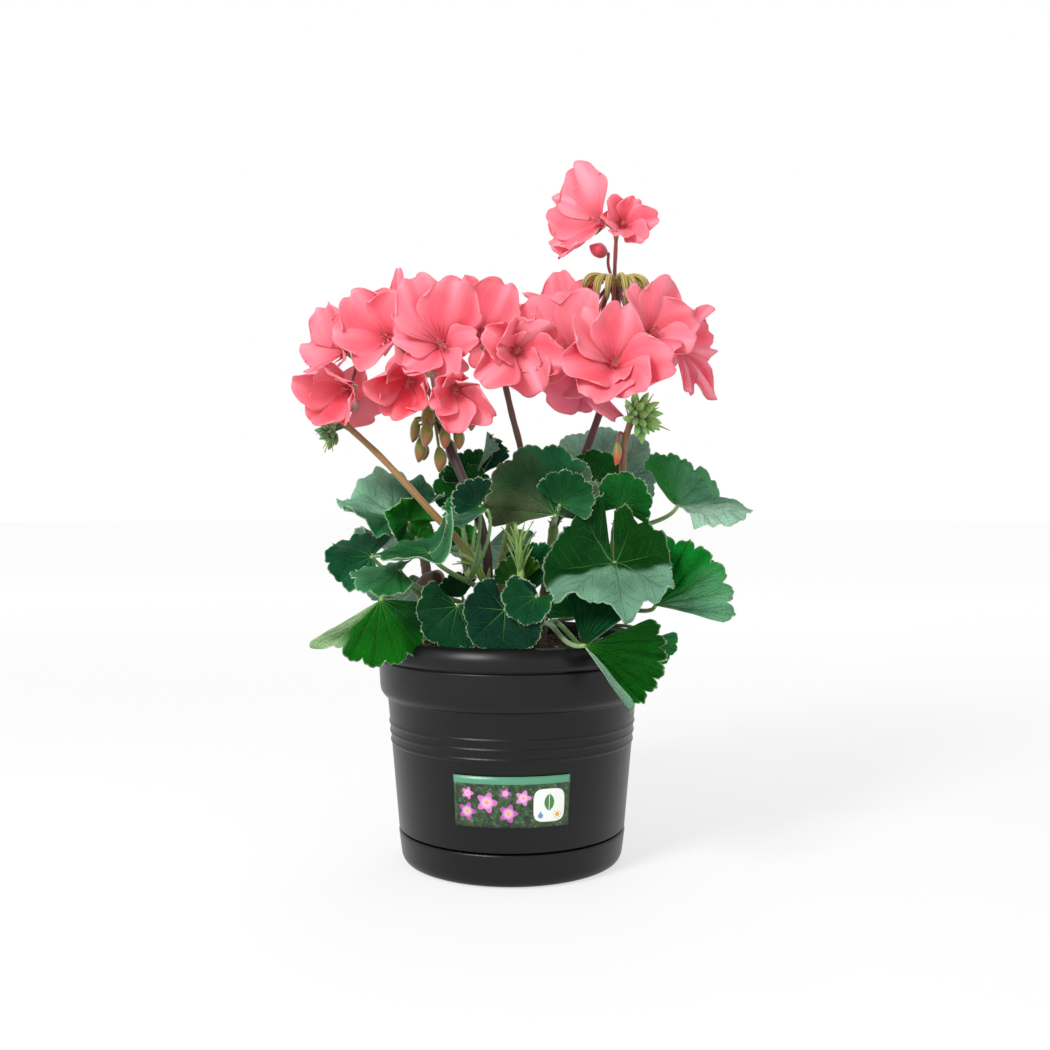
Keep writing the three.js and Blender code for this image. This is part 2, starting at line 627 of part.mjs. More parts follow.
// leaves: foot on a stem, share of the stem's height, petiole's meeting point, tip, face, size
const leaves = [
  ['leaf_front_left', 'stem_left', 0.15, [-67, -58, 149], [0.3, -0.3, -0.93], [-0.1, -0.93, 0.3], 35,
    { span: 80, skew: -0.42, wave: 0.08, left: -38, right: -8, tip: -14 }],
  ['leaf_left_low', 'stem_centre', 0.56, [-60, -33, 162.5], [-0.97, -0.1, 0.03], [-0.05, -0.3, 0.95], 27,
    { span: 112, left: -10, right: -8, wave: 0.07 }],
  ['leaf_left_dark', 'stem_left', 0.5, [-79, 0, 168], [-0.93, -0.1, 0.15], [-0.25, -0.72, 0.62], 27,
    { span: 120, left: -2, right: -20, wave: 0.09 }],
  ['leaf_left_folded', 'stem_centre', 0.8, [-44, -36, 172], [-0.95, -0.2, 0.05], [0, -0.4, 0.92], 31,
    { span: 140, skew: 0.16, back: 76, tip: -4, left: 16, right: -16 }],
  ['leaf_left_high', 'stem_left', 0.92, [-66, 0, 191.5], [-0.7, 0.5, 0.45], [-0.1, -0.6, 0.79], 36,
    { span: 132, wave: 0.13, waves: 3.4, left: 24, right: -14 }],
  ['leaf_left_young', 'stem_left', 0.8, [-57, -12, 188], [-0.2, -0.5, 0.8], [0.1, -0.8, 0.55], 16,
    { on: 'leaf_left_high', span: 140, wave: 0.22, waves: 4, cup: 0.12 }],
  ['leaf_centre', 'stem_mid', 0.93, [24, -20, 190], [-0.2, -0.1, 0.97], [-0.12, -0.94, 0.25], 39,
    { span: 104, skew: 0.12, tip: -16, left: -14, right: -16 }],
  ['leaf_centre_near', 'stem_mid', 0.85, [26, -28, 195], [0.5, -0.1, 0.85], [-0.1, -0.9, 0.42], 22,
    { on: 'leaf_centre', span: 88, left: -10, right: -12 }],
  ['leaf_behind_right', 'stem_back', 0.85, [57, 42, 209], [0.1, 0.25, 0.95], [-0.05, -0.92, 0.3], 36,
    { span: 135 }],
  ['leaf_right_small_dark', 'stem_mid', 0.97, [47, -3, 211], [-0.1, -0.1, 0.97], [0, -0.97, 0.05], 18,
    { span: 120 }],
  ['leaf_right_small', 'stem_right', 0.93, [60, -15, 196], [0.15, -0.25, 0.95], [0, -0.88, 0.42], 20,
    { span: 112 }],
  ['leaf_right_high', 'stem_right', 0.85, [94, 4, 197], [0.85, 0.5, -0.06], [0, -0.25, 0.97], 42,
    { span: 112, tip: -4, back: 4, left: 56, right: -4, wave: 0.05 }],
  ['leaf_right_folded', 'stem_right', 0.62, [55, -39, 167], [0.1, -0.95, -0.05], [0, -0.2, 0.97], 41,
    { span: 165, skew: -0.12, back: 64, tip: -44, left: -2, right: -8, wave: 0.09 }],
  ['leaf_right_low', 'stem_right', 0.35, [78, -26, 143], [0.7, 0.1, 0.68], [-0.15, -0.8, 0.55], 43,
    { span: 63, left: -6, right: -12 }],
  ['leaf_over_rim', 'stem_mid', 0.16, [37, -80, 128], [0.99, -0.1, -0.06], [0.12, -0.9, 0.4], 44,
    { span: 46, rise: 0.25, skew: 0.12, left: -10, right: -18 }],
  ['leaf_front_dark', 'stem_mid', 0.34, [38, -50, 123.5], [0.26, 0.12, 0.95], [-0.3, -0.95, 0.1], 34,
    { span: 36, on: 'leaf_over_rim' }],
  ['leaf_under_right', 'stem_right', 0.2, [75, -46, 129], [0.4, 0, -0.9], [0.2, -0.95, 0.15], 17,
    { span: 100 }],
  ['leaf_front_centre_left', 'stem_centre', 0.28, [-28, -52, 145], [-0.2, -0.3, -0.9], [0, -0.92, 0.4], 24,
    { span: 125 }],
  ['leaf_front_centre', 'stem_centre', 0.42, [-3, -60, 144], [-0.05, -0.3, -0.92], [0, -0.92, 0.38], 25,
    {}],
  ['leaf_front_small', 'stem_mid', 0.3, [16, -64, 147], [-0.9, -0.3, -0.2], [0, -0.62, 0.78], 18,
    { on: 'leaf_front_centre', span: 78 }],
  ['leaf_mid_upright', 'stem_mid', 0.35, [11, -12, 150], [0.12, 0, 1], [-0.5, -0.85, 0.2], 28,
    { on: 'leaf_front_centre', span: 50 }],
  ['leaf_mid_back', 'stem_centre', 0.9, [-25, 14, 203], [-0.1, 0.1, 1], [-0.05, -0.95, 0.3], 20,
    { on: 'leaf_left_folded', span: 118, wave: 0.12 }],
  ['leaf_mid_pale', 'stem_centre', 0.95, [-13, -34, 195], [-1, 0, 0.05], [0.05, -0.62, 0.78], 25,
    { on: 'leaf_left_folded', span: 68 }],
  ['leaf_back_left', 'stem_left', 0.8, [-62, 46, 176], [-0.6, 0.75, 0.1], [-0.2, 0.3, 0.92], 36,
    { points: 14 }],
  ['leaf_back', 'stem_back', 0.6, [-18, 74, 171], [-0.1, 0.95, -0.25], [0, 0.35, 0.92], 37,
    { on: 'leaf_back_left', points: 14 }],
  ['leaf_back_right', 'stem_back', 0.4, [42, 70, 158], [0.5, 0.8, -0.2], [0.1, 0.45, 0.88], 38,
    { points: 14 }],
  ['leaf_far_right_back', 'stem_right', 0.5, [87, 32, 163], [0.8, 0.55, 0], [0.1, 0.1, 0.98], 34,
    { points: 14 }],
  ['leaf_far_left_back', 'stem_left', 0.3, [-58, 40, 146], [-0.6, 0.78, -0.2], [-0.2, 0.3, 0.9], 32,
    { points: 14 }],
].map(([name, stem, share, at, tip, face, size, more], k) => ({
  name, stem, share, at, tip, face, size, form: { ...flatForm, phase: chance(k + 50) * 360, ...more },
}));

// materials
function paint(color, roughness, metalness = 0) {
  return { color, roughness, metalness };
}

const paints = {
  plastic: paint(0x2b2c2e, 0.42),
  earth: paint(0x2a1c14, 0.95),
  paper: paint(0xe9efe6, 0.4),
  bark: paint(0x6d4a33, 0.7),
  shoot: paint(0x7fa353, 0.6),
  stalk: paint(0x7a4a3c, 0.6),
  bud: paint(0x6f9a4a, 0.6),
  redBud: paint(0xc23b48, 0.6),
  spent: paint(0xa39a45, 0.6),
  leaf: paint(0x1f6b2f, 0.6),
  petal: paint(0xf9707f, 0.6),
};

const group = new THREE.Group();

function put(name, body, look) {
  const mesh = body.getMesh();
  const geometry = new THREE.BufferGeometry();
  const place = new Float32Array((mesh.vertProperties.length / mesh.numProp) * 3);
  for (let i = 0; i < place.length / 3; i += 1) {
    for (let k = 0; k < 3; k += 1) place[3 * i + k] = mesh.vertProperties[mesh.numProp * i + k];
  }
  geometry.setAttribute('position', new THREE.BufferAttribute(place, 3));
  geometry.setIndex(new THREE.BufferAttribute(new Uint32Array(mesh.triVerts), 1));
  const item = new THREE.Mesh(geometry, new THREE.MeshStandardMaterial(look));
  item.name = name;
  group.add(item);
}

put('pot', pot, paints.plastic);
put('saucer', saucer, paints.plastic);
put('soil', soil, paints.earth);
put('care_label', labelBody(), paints.paper);
for (const [name, body] of Object.entries(stemSolids)) {
  put(name, body, name === 'young_shoot' ? paints.shoot : paints.bark);
}

const taken = [...stemRoom];
for (const [name, spec] of Object.entries(stalks)) {
  const mine = florets.filter((f) => f.stalk === name);
  const extra = { flower_stalk_far_right: [hangingBud], flower_stalk_right: [topStalklet] }[name] ?? [];
  const whole = (grow) => joined([
    stalkCore(spec, grow),
    ...mine.map((f) => pedicel(f, grow)),
    ...extra.map((make) => make(grow)),
  ]);
  put(name, clearedOf(whole(0), taken), paints.stalk);
  taken.push(whole(gap));
}

// A small leaf that grew beside a larger one starts on that leaf's petiole.
function leafStart(leaf) {
  const host = leaves.find((item) => item.name === leaf.form.on);
  return host ? petiole(host, leafStart(host), 3)[1] : onStem(leaf.stem, leaf.share);
}

const leafSolid = (leaf) => clearedOf(leafBody(leaf, leafStart(leaf)), taken);
for (const leaf of leaves.filter((item) => !item.form.on)) {
  const grown = leaves.filter((item) => item.form.on === leaf.name).map(leafSolid);
  put(leaf.name, joined([leafSolid(leaf), ...grown]), paints.leaf);
}

const floretSolid = (floret) => clearedOf(floretBody(floret), taken);
for (const floret of florets.filter((item) => !item.on)) {
  const grown = florets.filter((item) => item.on === floret.name).map(floretSolid);
  put(floret.name, joined([floretSolid(floret), ...grown]), paints.petal);
}

Object.entries(clusters).forEach(([name, spec], k) => {
  put(name, clearedOf(clusterBody(spec, k + 1), taken), paints.bud);
});
const topHeading = vec([-0.8, -0.3, 0.25]).normalize();
const topLine = [0, 3.4, 7.6, 12].map((d) => vec(topBud).addScaledVector(topHeading, d));
const topBody = bar(topLine, [0.8, 4.4, 4.2, 0.6], 6);
put('bud_top', clearedOf(topBody, taken), paints.redBud);
put('spent_flowers', clearedOf(spentBody(stalkEnd('flower_stalk_right')), taken), paints.spent);

export default group;
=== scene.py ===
import json
import math
import random

import bmesh
import bpy
from mathutils import Matrix, Vector, noise

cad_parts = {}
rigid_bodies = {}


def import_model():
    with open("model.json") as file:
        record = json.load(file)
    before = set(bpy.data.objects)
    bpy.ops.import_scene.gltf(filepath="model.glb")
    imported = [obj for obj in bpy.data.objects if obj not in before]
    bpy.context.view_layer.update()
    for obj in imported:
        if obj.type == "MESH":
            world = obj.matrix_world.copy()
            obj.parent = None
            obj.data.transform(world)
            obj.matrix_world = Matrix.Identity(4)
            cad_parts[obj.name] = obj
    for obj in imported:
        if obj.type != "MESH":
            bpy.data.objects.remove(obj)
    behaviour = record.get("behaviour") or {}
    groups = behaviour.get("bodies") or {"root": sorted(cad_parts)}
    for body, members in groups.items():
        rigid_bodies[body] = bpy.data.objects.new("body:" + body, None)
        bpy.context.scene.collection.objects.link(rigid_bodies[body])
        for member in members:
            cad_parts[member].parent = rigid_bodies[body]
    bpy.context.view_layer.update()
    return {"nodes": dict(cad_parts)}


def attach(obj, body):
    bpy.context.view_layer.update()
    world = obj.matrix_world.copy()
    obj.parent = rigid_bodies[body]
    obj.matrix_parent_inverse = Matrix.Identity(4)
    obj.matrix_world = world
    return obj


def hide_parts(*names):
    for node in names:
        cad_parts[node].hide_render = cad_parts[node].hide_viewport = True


# A potted geranium in bloom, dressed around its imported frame.
# Shapes are worked out in millimetres and scaled to metres when a piece is done.
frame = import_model()
print("frame:", len(frame["nodes"]), "nodes")

mm = 0.001


def mix(a, b, share):
    return a + (b - a) * share


def ease(low, high, x):
    t = min(max((x - low) / (high - low), 0), 1)
    return t * t * (3 - 2 * t)


def chance(n):  # the same scatter as the frame's own pieces have
    return (math.sin(n * 12.9898 + 4.1414) * 43758.5453) % 1


def ink(code, alpha=1.0):  # a screen colour as scene-linear values
    parts = [int(code[i:i + 2], 16) / 255 for i in (0, 2, 4)]
    linear = [c / 12.92 if c <= 0.04045 else ((c + 0.055) / 1.055) ** 2.4 for c in parts]
    return (*linear, alpha)


def mixInk(a, b, share):
    return tuple(mix(p, q, share) for p, q in zip(a, b))


def shade(low, high, share):
    return mixInk(ink(low), ink(high), share)


def linked(name, data):
    item = bpy.data.objects.new(name, data)
    bpy.context.scene.collection.objects.link(item)
    return item


# camera and studio; focal length, frame and horizon count in pixels of the picture

view = {
    "place": (0.0073, -0.698, 0.2056), "focal": 1240, "frame": 1050, "horizon": 490, "near": 0.01, "far": 50,
}
studio = {
    "side": (1, 1, 1, 1), "above": (0.3, 0.3, 0.3, 1), "dimming": (0.42, 0.8),
    "floorRadius": 8.0, "floorShade": 0.3, "near": 0.66, "far": 0.8, "glow": (0.4, 2.0),
    "aim": (0, 0, 0.2),
    "key": {"place": (-0.7, -0.95, 1.05), "size": 0.4, "power": 17.0},
    "fill": {"place": (1.0, -0.8, 0.5), "size": 1.0, "power": 0.8},
    "rim": {"place": (0.3, 1.0, 1.2), "size": 0.8, "power": 5.0},
}


def makeCamera():
    data = bpy.data.cameras.new("camera")
    data.sensor_fit = "HORIZONTAL"
    data.angle = 2 * math.atan(view["frame"] / 2 / view["focal"])
    data.shift_y = (view["horizon"] - view["frame"] / 2) / view["frame"]
    data.clip_start = view["near"]
    data.clip_end = view["far"]
    item = linked("camera", data)
    item.location = view["place"]
    item.rotation_euler = (math.pi / 2, 0, 0)
    bpy.context.scene.camera = item


def makeLight(name, place, size, power):
    data = bpy.data.lights.new(name, "AREA")
    data.size = size
    data.energy = power
    item = linked(name, data)
    item.location = place
    item.rotation_euler = (Vector(studio["aim"]) - Vector(place)).to_track_quat("-Z", "Y").to_euler()


# shader maths: a socket that takes part in sums, and a finish that makes nodes

class Value:
    def __init__(self, finish, socket):
        self.finish = finish
        self.socket = socket

    def math(self, operation, *others):
        return self.finish.node("ShaderNodeMath", {"operation": operation}, (self, *others))

    def __add__(self, other):
        return self.math("ADD", other)

    def __sub__(self, other):
        return self.math("SUBTRACT", other)

    def __rsub__(self, other):
        return self.finish.node("ShaderNodeMath", {"operation": "SUBTRACT"}, (other, self))

    def __mul__(self, other):
        return self.math("MULTIPLY", other)

    def __truediv__(self, other):
        return self.math("DIVIDE", other)

    def __pow__(self, other):
        return self.math("POWER", other)

    def __abs__(self):
        return self.math("ABSOLUTE")

    __radd__ = __add__
    __rmul__ = __mul__

    def fract(self):
        return self.math("FRACT")

    def over(self, low, high):  # 0 at low, 1 at high, smooth between
        return self.finish.node(
            "ShaderNodeMapRange", {"interpolation_type": "SMOOTHSTEP"}, (self, low, high, 0.0, 1.0))


class Finish:
    def __init__(self, name):
        self.material = bpy.data.materials.new(name)
        self.material.use_nodes = True
        self.tree = self.material.node_tree
        self.tree.nodes.clear()
        self.output = self.tree.nodes.new("ShaderNodeOutputMaterial")

    # settings go first; a socket takes a link, a value or a screen colour's code
    def node(self, kind, settings=(), sockets=(), out=0):
        made = self.tree.nodes.new(kind)
        for key, value in dict(settings).items():
            setattr(made, key, value)
        pairs = sockets.items() if isinstance(sockets, dict) else enumerate(sockets)
        for key, value in pairs:
            if isinstance(value, Value):
                self.tree.links.new(value.socket, made.inputs[key])
            else:
                made.inputs[key].default_value = ink(value) if isinstance(value, str) else value
        return Value(self, made.outputs[out])

    def place(self):
        return self.node("ShaderNodeTexCoord", out="Object")

    def surfacePlace(self):
        spot = self.node("ShaderNodeUVMap", {"uv_map": "place"})
        return [self.node("ShaderNodeSeparateXYZ", sockets=(spot,), out=k) for k in (0, 1)]

    def tint(self, out="Color"):
        return self.node("ShaderNodeAttribute", {"attribute_name": "tint"}, out=out)

    def grain(self, scale, detail=3.0, rough=0.55, spot=None):
        where = spot or self.place()
        return self.node("ShaderNodeTexNoise", sockets={
            "Vector": where, "Scale": scale, "Detail": detail, "Roughness": rough})

    def cells(self, scale, feature="DISTANCE_TO_EDGE"):
        return self.node("ShaderNodeTexVoronoi", {"feature": feature},
                         {"Vector": self.place(), "Scale": scale})

    def drawnOut(self, share):  # places for a grain that runs lengthwise on an upright piece
        return self.node("ShaderNodeMapping", sockets={"Vector": self.place(), "Scale": (1, 1, share)})

    def both(self, a, b, share):
        return self.node("ShaderNodeMix", {"data_type": "RGBA"}, {0: share, 6: a, 7: b}, out=2)

    def times(self, color, amount):
        return self.node("ShaderNodeMix", {"data_type": "RGBA", "blend_type": "MULTIPLY"},
                         {0: 1.0, 6: color, 7: amount}, out=2)

    def toned(self, color, amount, share):
        return self.both(color, self.times(color, amount), share)

    def bump(self, height, strength, distance):
        return self.node("ShaderNodeBump", sockets={
            "Height": height, "Strength": strength, "Distance": distance})

    def solid(self, **sockets):
        named = {key.replace("_", " "): value for key, value in sockets.items()}
        return self.node("ShaderNodeBsdfPrincipled", sockets=named)

    def done(self, shader, through=None, share=0.0):
        if through:
            lit = self.node("ShaderNodeBsdfTranslucent", sockets=(through,))
            shader = self.node("ShaderNodeMixShader", sockets=(share, shader, lit))
        self.tree.links.new(shader.socket, self.output.inputs[0])
        return self.material


# finishes

plasticLook = {"base": "0b0b0c", "worn": "101011", "rough": 0.34, "cloud": 18, "grain": 1500, "speck": 900}


def plasticFinish():
    f = Finish("anthracite plastic")
    cloud = f.grain(plasticLook["cloud"], 4.0)
    fine = f.grain(plasticLook["grain"], 2.0)
    speck = f.cells(plasticLook["speck"])
    color = f.both(plasticLook["base"], plasticLook["worn"], cloud.over(0.35, 0.75))
    rough = cloud * 0.14 + fine * 0.06 + (plasticLook["rough"] - 0.1)
    relief = f.bump(fine * 0.6 + speck.over(0.0, 0.4) * 0.4, 0.18, 0.0002)
    return f.done(f.solid(Base_Color=color, Roughness=rough, Normal=relief, IOR=1.35))


soilLook = {"dark": "140d09", "mid": "2b1a11", "light": "5a3a25", "lumps": 160, "grain": 900}


def soilFinish():
    f = Finish("potting soil")
    lumps = f.grain(soilLook["lumps"], 6.0, 0.7)
    fine = f.grain(soilLook["grain"], 5.0, 0.7)
    base = f.both(soilLook["dark"], soilLook["mid"], lumps.over(0.35, 0.65))
    color = f.both(base, soilLook["light"], fine.over(0.58, 0.75))
    relief = f.bump(lumps + fine, 0.9, 0.0012)
    return f.done(f.solid(Base_Color=color, Roughness=0.92, Normal=relief))


crumbLook = {"grain": 1400, "dark": (0.35, 0.32, 0.3, 1)}


def crumbFinish():
    f = Finish("soil crumbs")
    fine = f.grain(crumbLook["grain"], 4.0, 0.7)
    color = f.toned(f.tint(), crumbLook["dark"], fine.over(0.35, 0.7))
    return f.done(f.solid(Base_Color=color, Roughness=0.9, Normal=f.bump(fine, 0.8, 0.0005)))


# streak and patch are the scale and detail of a grain; streaked and patched say where it sets in, where
# it is full and how strong it is
barkLook = {
    "streak": (840, 5.0, 0.65), "drawnOut": 0.22, "dark": (0.4, 0.36, 0.34, 1), "streaked": (0.45, 0.72, 0.6),
    "patch": (105, 3.0), "light": (1.5, 1.45, 1.2, 1), "patched": (0.52, 0.75, 0.5),
    "rough": 0.62, "relief": (0.5, 0.0006), "sheen": (0.3, 0.5),
}
stalkLook = {
    "streak": (1500, 3.0, 0.6), "drawnOut": 0.15, "dark": (0.55, 0.5, 0.55, 1), "streaked": (0.42, 0.75, 0.5),
    "patch": (60, 2.0), "light": (1.3, 1.35, 1.2, 1), "patched": (0.5, 0.8, 0.5),
    "rough": 0.5, "relief": (0.3, 0.0003), "sheen": (0.4, 0.45),
}


def skinFinish(name, look):
    f = Finish(name)
    streak = f.grain(*look["streak"], f.drawnOut(look["drawnOut"]))
    patch = f.grain(*look["patch"])
    low, high, share = look["streaked"]
    color = f.toned(f.tint(), look["dark"], streak.over(low, high) * share)
    low, high, share = look["patched"]
    color = f.both(color, f.times(f.tint(), look["light"]), patch.over(low, high) * share)
    sheen, spread = look["sheen"]
    return f.done(f.solid(Base_Color=color, Roughness=look["rough"], Normal=f.bump(streak, *look["relief"]),
                          Sheen_Weight=sheen, Sheen_Roughness=spread))


# the bluish-green patch colour paints sheen onto the upper face
leafLook = {
    "vein": "5c9a4c", "ridge": "b4cfae", "pale": "8db89e", "margin": "a9c89a", "bloom": "4f9a6c",
    "lobes": 7, "branches": 6.2, "zone": 0.3, "net": 620, "cloud": 55, "bloomGrain": 38, "fine": 2600,
    "through": "1f8a10", "share": 0.07,
}


# main veins taper from the foot of the blade, and branches leave them on both sides
def veins(f, across, along):
    sway = (f.grain(70.0, 2.0) - 0.5) * along
    inLobe = abs(((across + sway * 0.02) * leafLook["lobes"]).fract() - 0.5)
    side = inLobe * along
    main = 1 - (side / (1.12 - along)).over(0.006, 0.03)
    branch = ((along - side * 1.15 + sway * 0.06) * leafLook["branches"]).fract()
    branch = 1 - (abs(branch - 0.5) * 2).over(0.0, 0.2)
    branch = branch * inLobe.over(0.0, 0.06) * (1 - inLobe.over(0.3, 0.5)) * along.over(0.12, 0.35)
    return main, branch * (1 - along.over(0.8, 1.0))


# clouded flesh with the darker ring of a zonal leaf and a net of fine veins
def leafBase(f, along):
    net = f.cells(leafLook["net"])
    base = f.toned(f.tint(), (0.5, 0.62, 0.6, 1), f.grain(leafLook["cloud"], 4.0).over(0.38, 0.68) * 0.6)
    ring = along.over(0.36, 0.52) * (1 - along.over(0.6, 0.78))
    base = f.toned(base, (0.5, 0.58, 0.56, 1), ring * leafLook["zone"])
    return f.toned(base, (1.3, 1.3, 1.15, 1), net.over(0.02, 0.16) * 0.3), net


def leafTopFinish():
    f = Finish("leaf upper face")
    across, along = f.surfacePlace()
    main, branch = veins(f, across, along)
    base, net = leafBase(f, along)
    bloom = f.grain(leafLook["bloomGrain"], 3.0)
    fine = f.grain(leafLook["fine"], 2.0)
    # bluish-green patches where the grain is high: painted sheen
    base = f.both(base, leafLook["bloom"], bloom.over(0.55, 0.8) * 0.13)
    color = f.both(base, leafLook["vein"], main * (1 - along.over(0.1, 0.9) * 0.75) * 0.5)
    color = f.both(color, leafLook["vein"], branch * 0.18)
    color = f.both(color, leafLook["margin"], along.over(0.972, 0.99) * 0.34)
    height = net.over(0.0, 0.3) * 0.35 + fine * 0.1 + bloom * 0.8 - main * 0.9 - branch * 0.6
    shader = f.solid(Base_Color=color, Roughness=fine * 0.15 + 0.45, Normal=f.bump(height, 0.8, 0.0011),
                     Specular_IOR_Level=0.07)
    return f.done(shader, leafLook["through"], leafLook["share"])


def leafUnderFinish():
    f = Finish("leaf under face")
    across, along = f.surfacePlace()
    main, branch = veins(f, across, along)
    base, net = leafBase(f, along)
    fine = f.grain(leafLook["fine"], 2.0)
    besideVein = 1 - (abs(main * 2 - 0.7) * 1.4).over(0.0, 0.6)
    base = f.both(base, leafLook["pale"], 0.5)
    color = f.toned(base, (0.5, 0.62, 0.5, 1), besideVein * 0.5)
    color = f.both(color, leafLook["ridge"], main * 0.7)
    color = f.both(color, leafLook["ridge"], branch * 0.35)
    height = main * 1.2 + branch * 0.7 + net.over(0.0, 0.3) * 0.4 + fine * 0.15
    shader = f.solid(Base_Color=color, Roughness=fine * 0.15 + 0.55, Normal=f.bump(height, 0.8, 0.0011),
                     Sheen_Weight=0.06, Sheen_Roughness=0.5, Specular_IOR_Level=0.15)
    return f.done(shader, leafLook["through"], leafLook["share"])


fringeLook = {"pale": "b9d2a4", "grain": 2200}


def fringeFinish():
    f = Finish("leaf fringe")
    fine = f.grain(fringeLook["grain"], 2.0)
    color = f.both(f.tint(), fringeLook["pale"], fine.over(0.3, 0.7) * 0.5 + 0.1)
    return f.done(f.solid(Base_Color=color, Roughness=0.7, Sheen_Weight=0.5, Sheen_Roughness=0.5))


petalLook = {
    "deep": "e02c40", "mark": "7a0c2a", "rim": "ff9fb0", "cloud": 48, "through": "ff4d5e", "share": 0.28,
}


def petalFinish(name, pale):
    f = Finish(name)
    across, along = f.surfacePlace()
    side = across * 2 - 1
    spot = f.node("ShaderNodeCombineXYZ", sockets=(across * 4, along * 3, f.tint("Alpha") * 9))
    wobble = (f.grain(1.0, 3.0, 0.6, spot) - 0.5) * 1.1
    ribs = abs((side * (4.6 - along * 1.2) + wobble * along).fract() - 0.5) * 2
    rib = 1 - ribs.over(0.0, 0.3)
    forks = abs((side * (9.5 - along * 2) + wobble * 1.6).fract() - 0.5) * 2
    fork = (1 - forks.over(0.0, 0.36)) * along.over(0.12, 0.3)
    long = f.node("ShaderNodeCombineXYZ", sockets=(across * 26, along * 2.2, 0.0))
    streak = f.grain(1.0, 4.0, 0.6, long)
    cloud = f.grain(petalLook["cloud"], 3.0)
    # deeper towards the foot and middle of the petal: the throat's own colour together with painted shade in
    # the floret's hollow
    throat = (1 - along.over(0.0, 0.7)) * (1 - abs(side).over(0.3, 1.0))
    margin = along.over(0.7, 1.0) * 0.5 + abs(side).over(0.55, 1.0) * along.over(0.15, 0.6) * 0.55
    base = f.both(f.tint(), petalLook["rim"], pale)
    base = f.both(base, petalLook["deep"], throat * 0.55)
    base = f.toned(base, (0.94, 0.66, 0.7, 1), streak.over(0.4, 0.75) * 0.5)
    base = f.both(base, petalLook["rim"], cloud.over(0.45, 0.8) * 0.35)
    base = f.both(base, petalLook["rim"], margin)
    fade = 1 - along.over(0.2, 0.8)
    color = f.toned(base, (0.82, 0.45, 0.5, 1), (rib * 0.3 + fork * 0.2) * fade)
    reach = 1 - (along + wobble * 0.25).over(0.16, 0.5)
    mark = (rib + fork * 0.6) * f.tint("Alpha") * along.over(0.02, 0.08) * reach
    color = f.both(color, petalLook["mark"], mark * 0.9)
    relief = f.bump(streak * 0.7 + (rib + fork) * 0.35 * fade, 0.5, 0.0008)
    shader = f.solid(Base_Color=color, Roughness=0.5, Normal=relief,
                     Sheen_Weight=0.2, Sheen_Roughness=0.4, Specular_IOR_Level=0.3)
    return f.done(shader, petalLook["through"], petalLook["share"])


budLook = {"streak": 900, "dark": (0.6, 0.62, 0.5, 1), "through": "8ab04a", "share": 0.1}


def budFinish():
    f = Finish("bud skin")
    streak = f.grain(budLook["streak"], 3.0)
    color = f.toned(f.tint(), budLook["dark"], streak.over(0.42, 0.7) * 0.5)
    shader = f.solid(Base_Color=color, Roughness=0.5, Normal=f.bump(streak, 0.3, 0.0003),
                     Sheen_Weight=0.5, Sheen_Roughness=0.5)
    return f.done(shader, budLook["through"], budLook["share"])


# the print's parts lie in millimetres from the label's lower left corner
labelLook = {
    "wide": 60.5, "high": 26.5, "edge": 0.15, "bandFoot": 22.4,
    "paper": "e6e8e4", "band": "4f9070", "shade": "141f17", "mid": "35592f", "light": "8aa878",
    "leaf": "3f7d3d", "drop": "5f93b8", "sun": "e0a03a", "blossomHeart": "f2d2ea",
    "foliage": 320, "fleck": 520,
    "blossoms": [(7, 8, 4.8, "a8489c"), (17.5, 13, 5.6, "c66ab4"), (28.5, 7.5, 5, "b050a2"),
                 (36, 15.5, 4.2, "d080c0"), (7.5, 17.5, 3.4, "c66ab4"), (27, 18, 3, "a8489c")],
    "panel": {"at": (49.5, 11.3), "half": (8.2, 8.6)},
    "leafSign": {"at": (49.5, 12.8), "apart": 2.6, "radius": 5.2},
    "dropSign": {"at": (45.0, 5.9), "radius": 1.35},
    "sunSign": {"at": (54.0, 6.2), "radius": 1.15, "rays": 8},
}


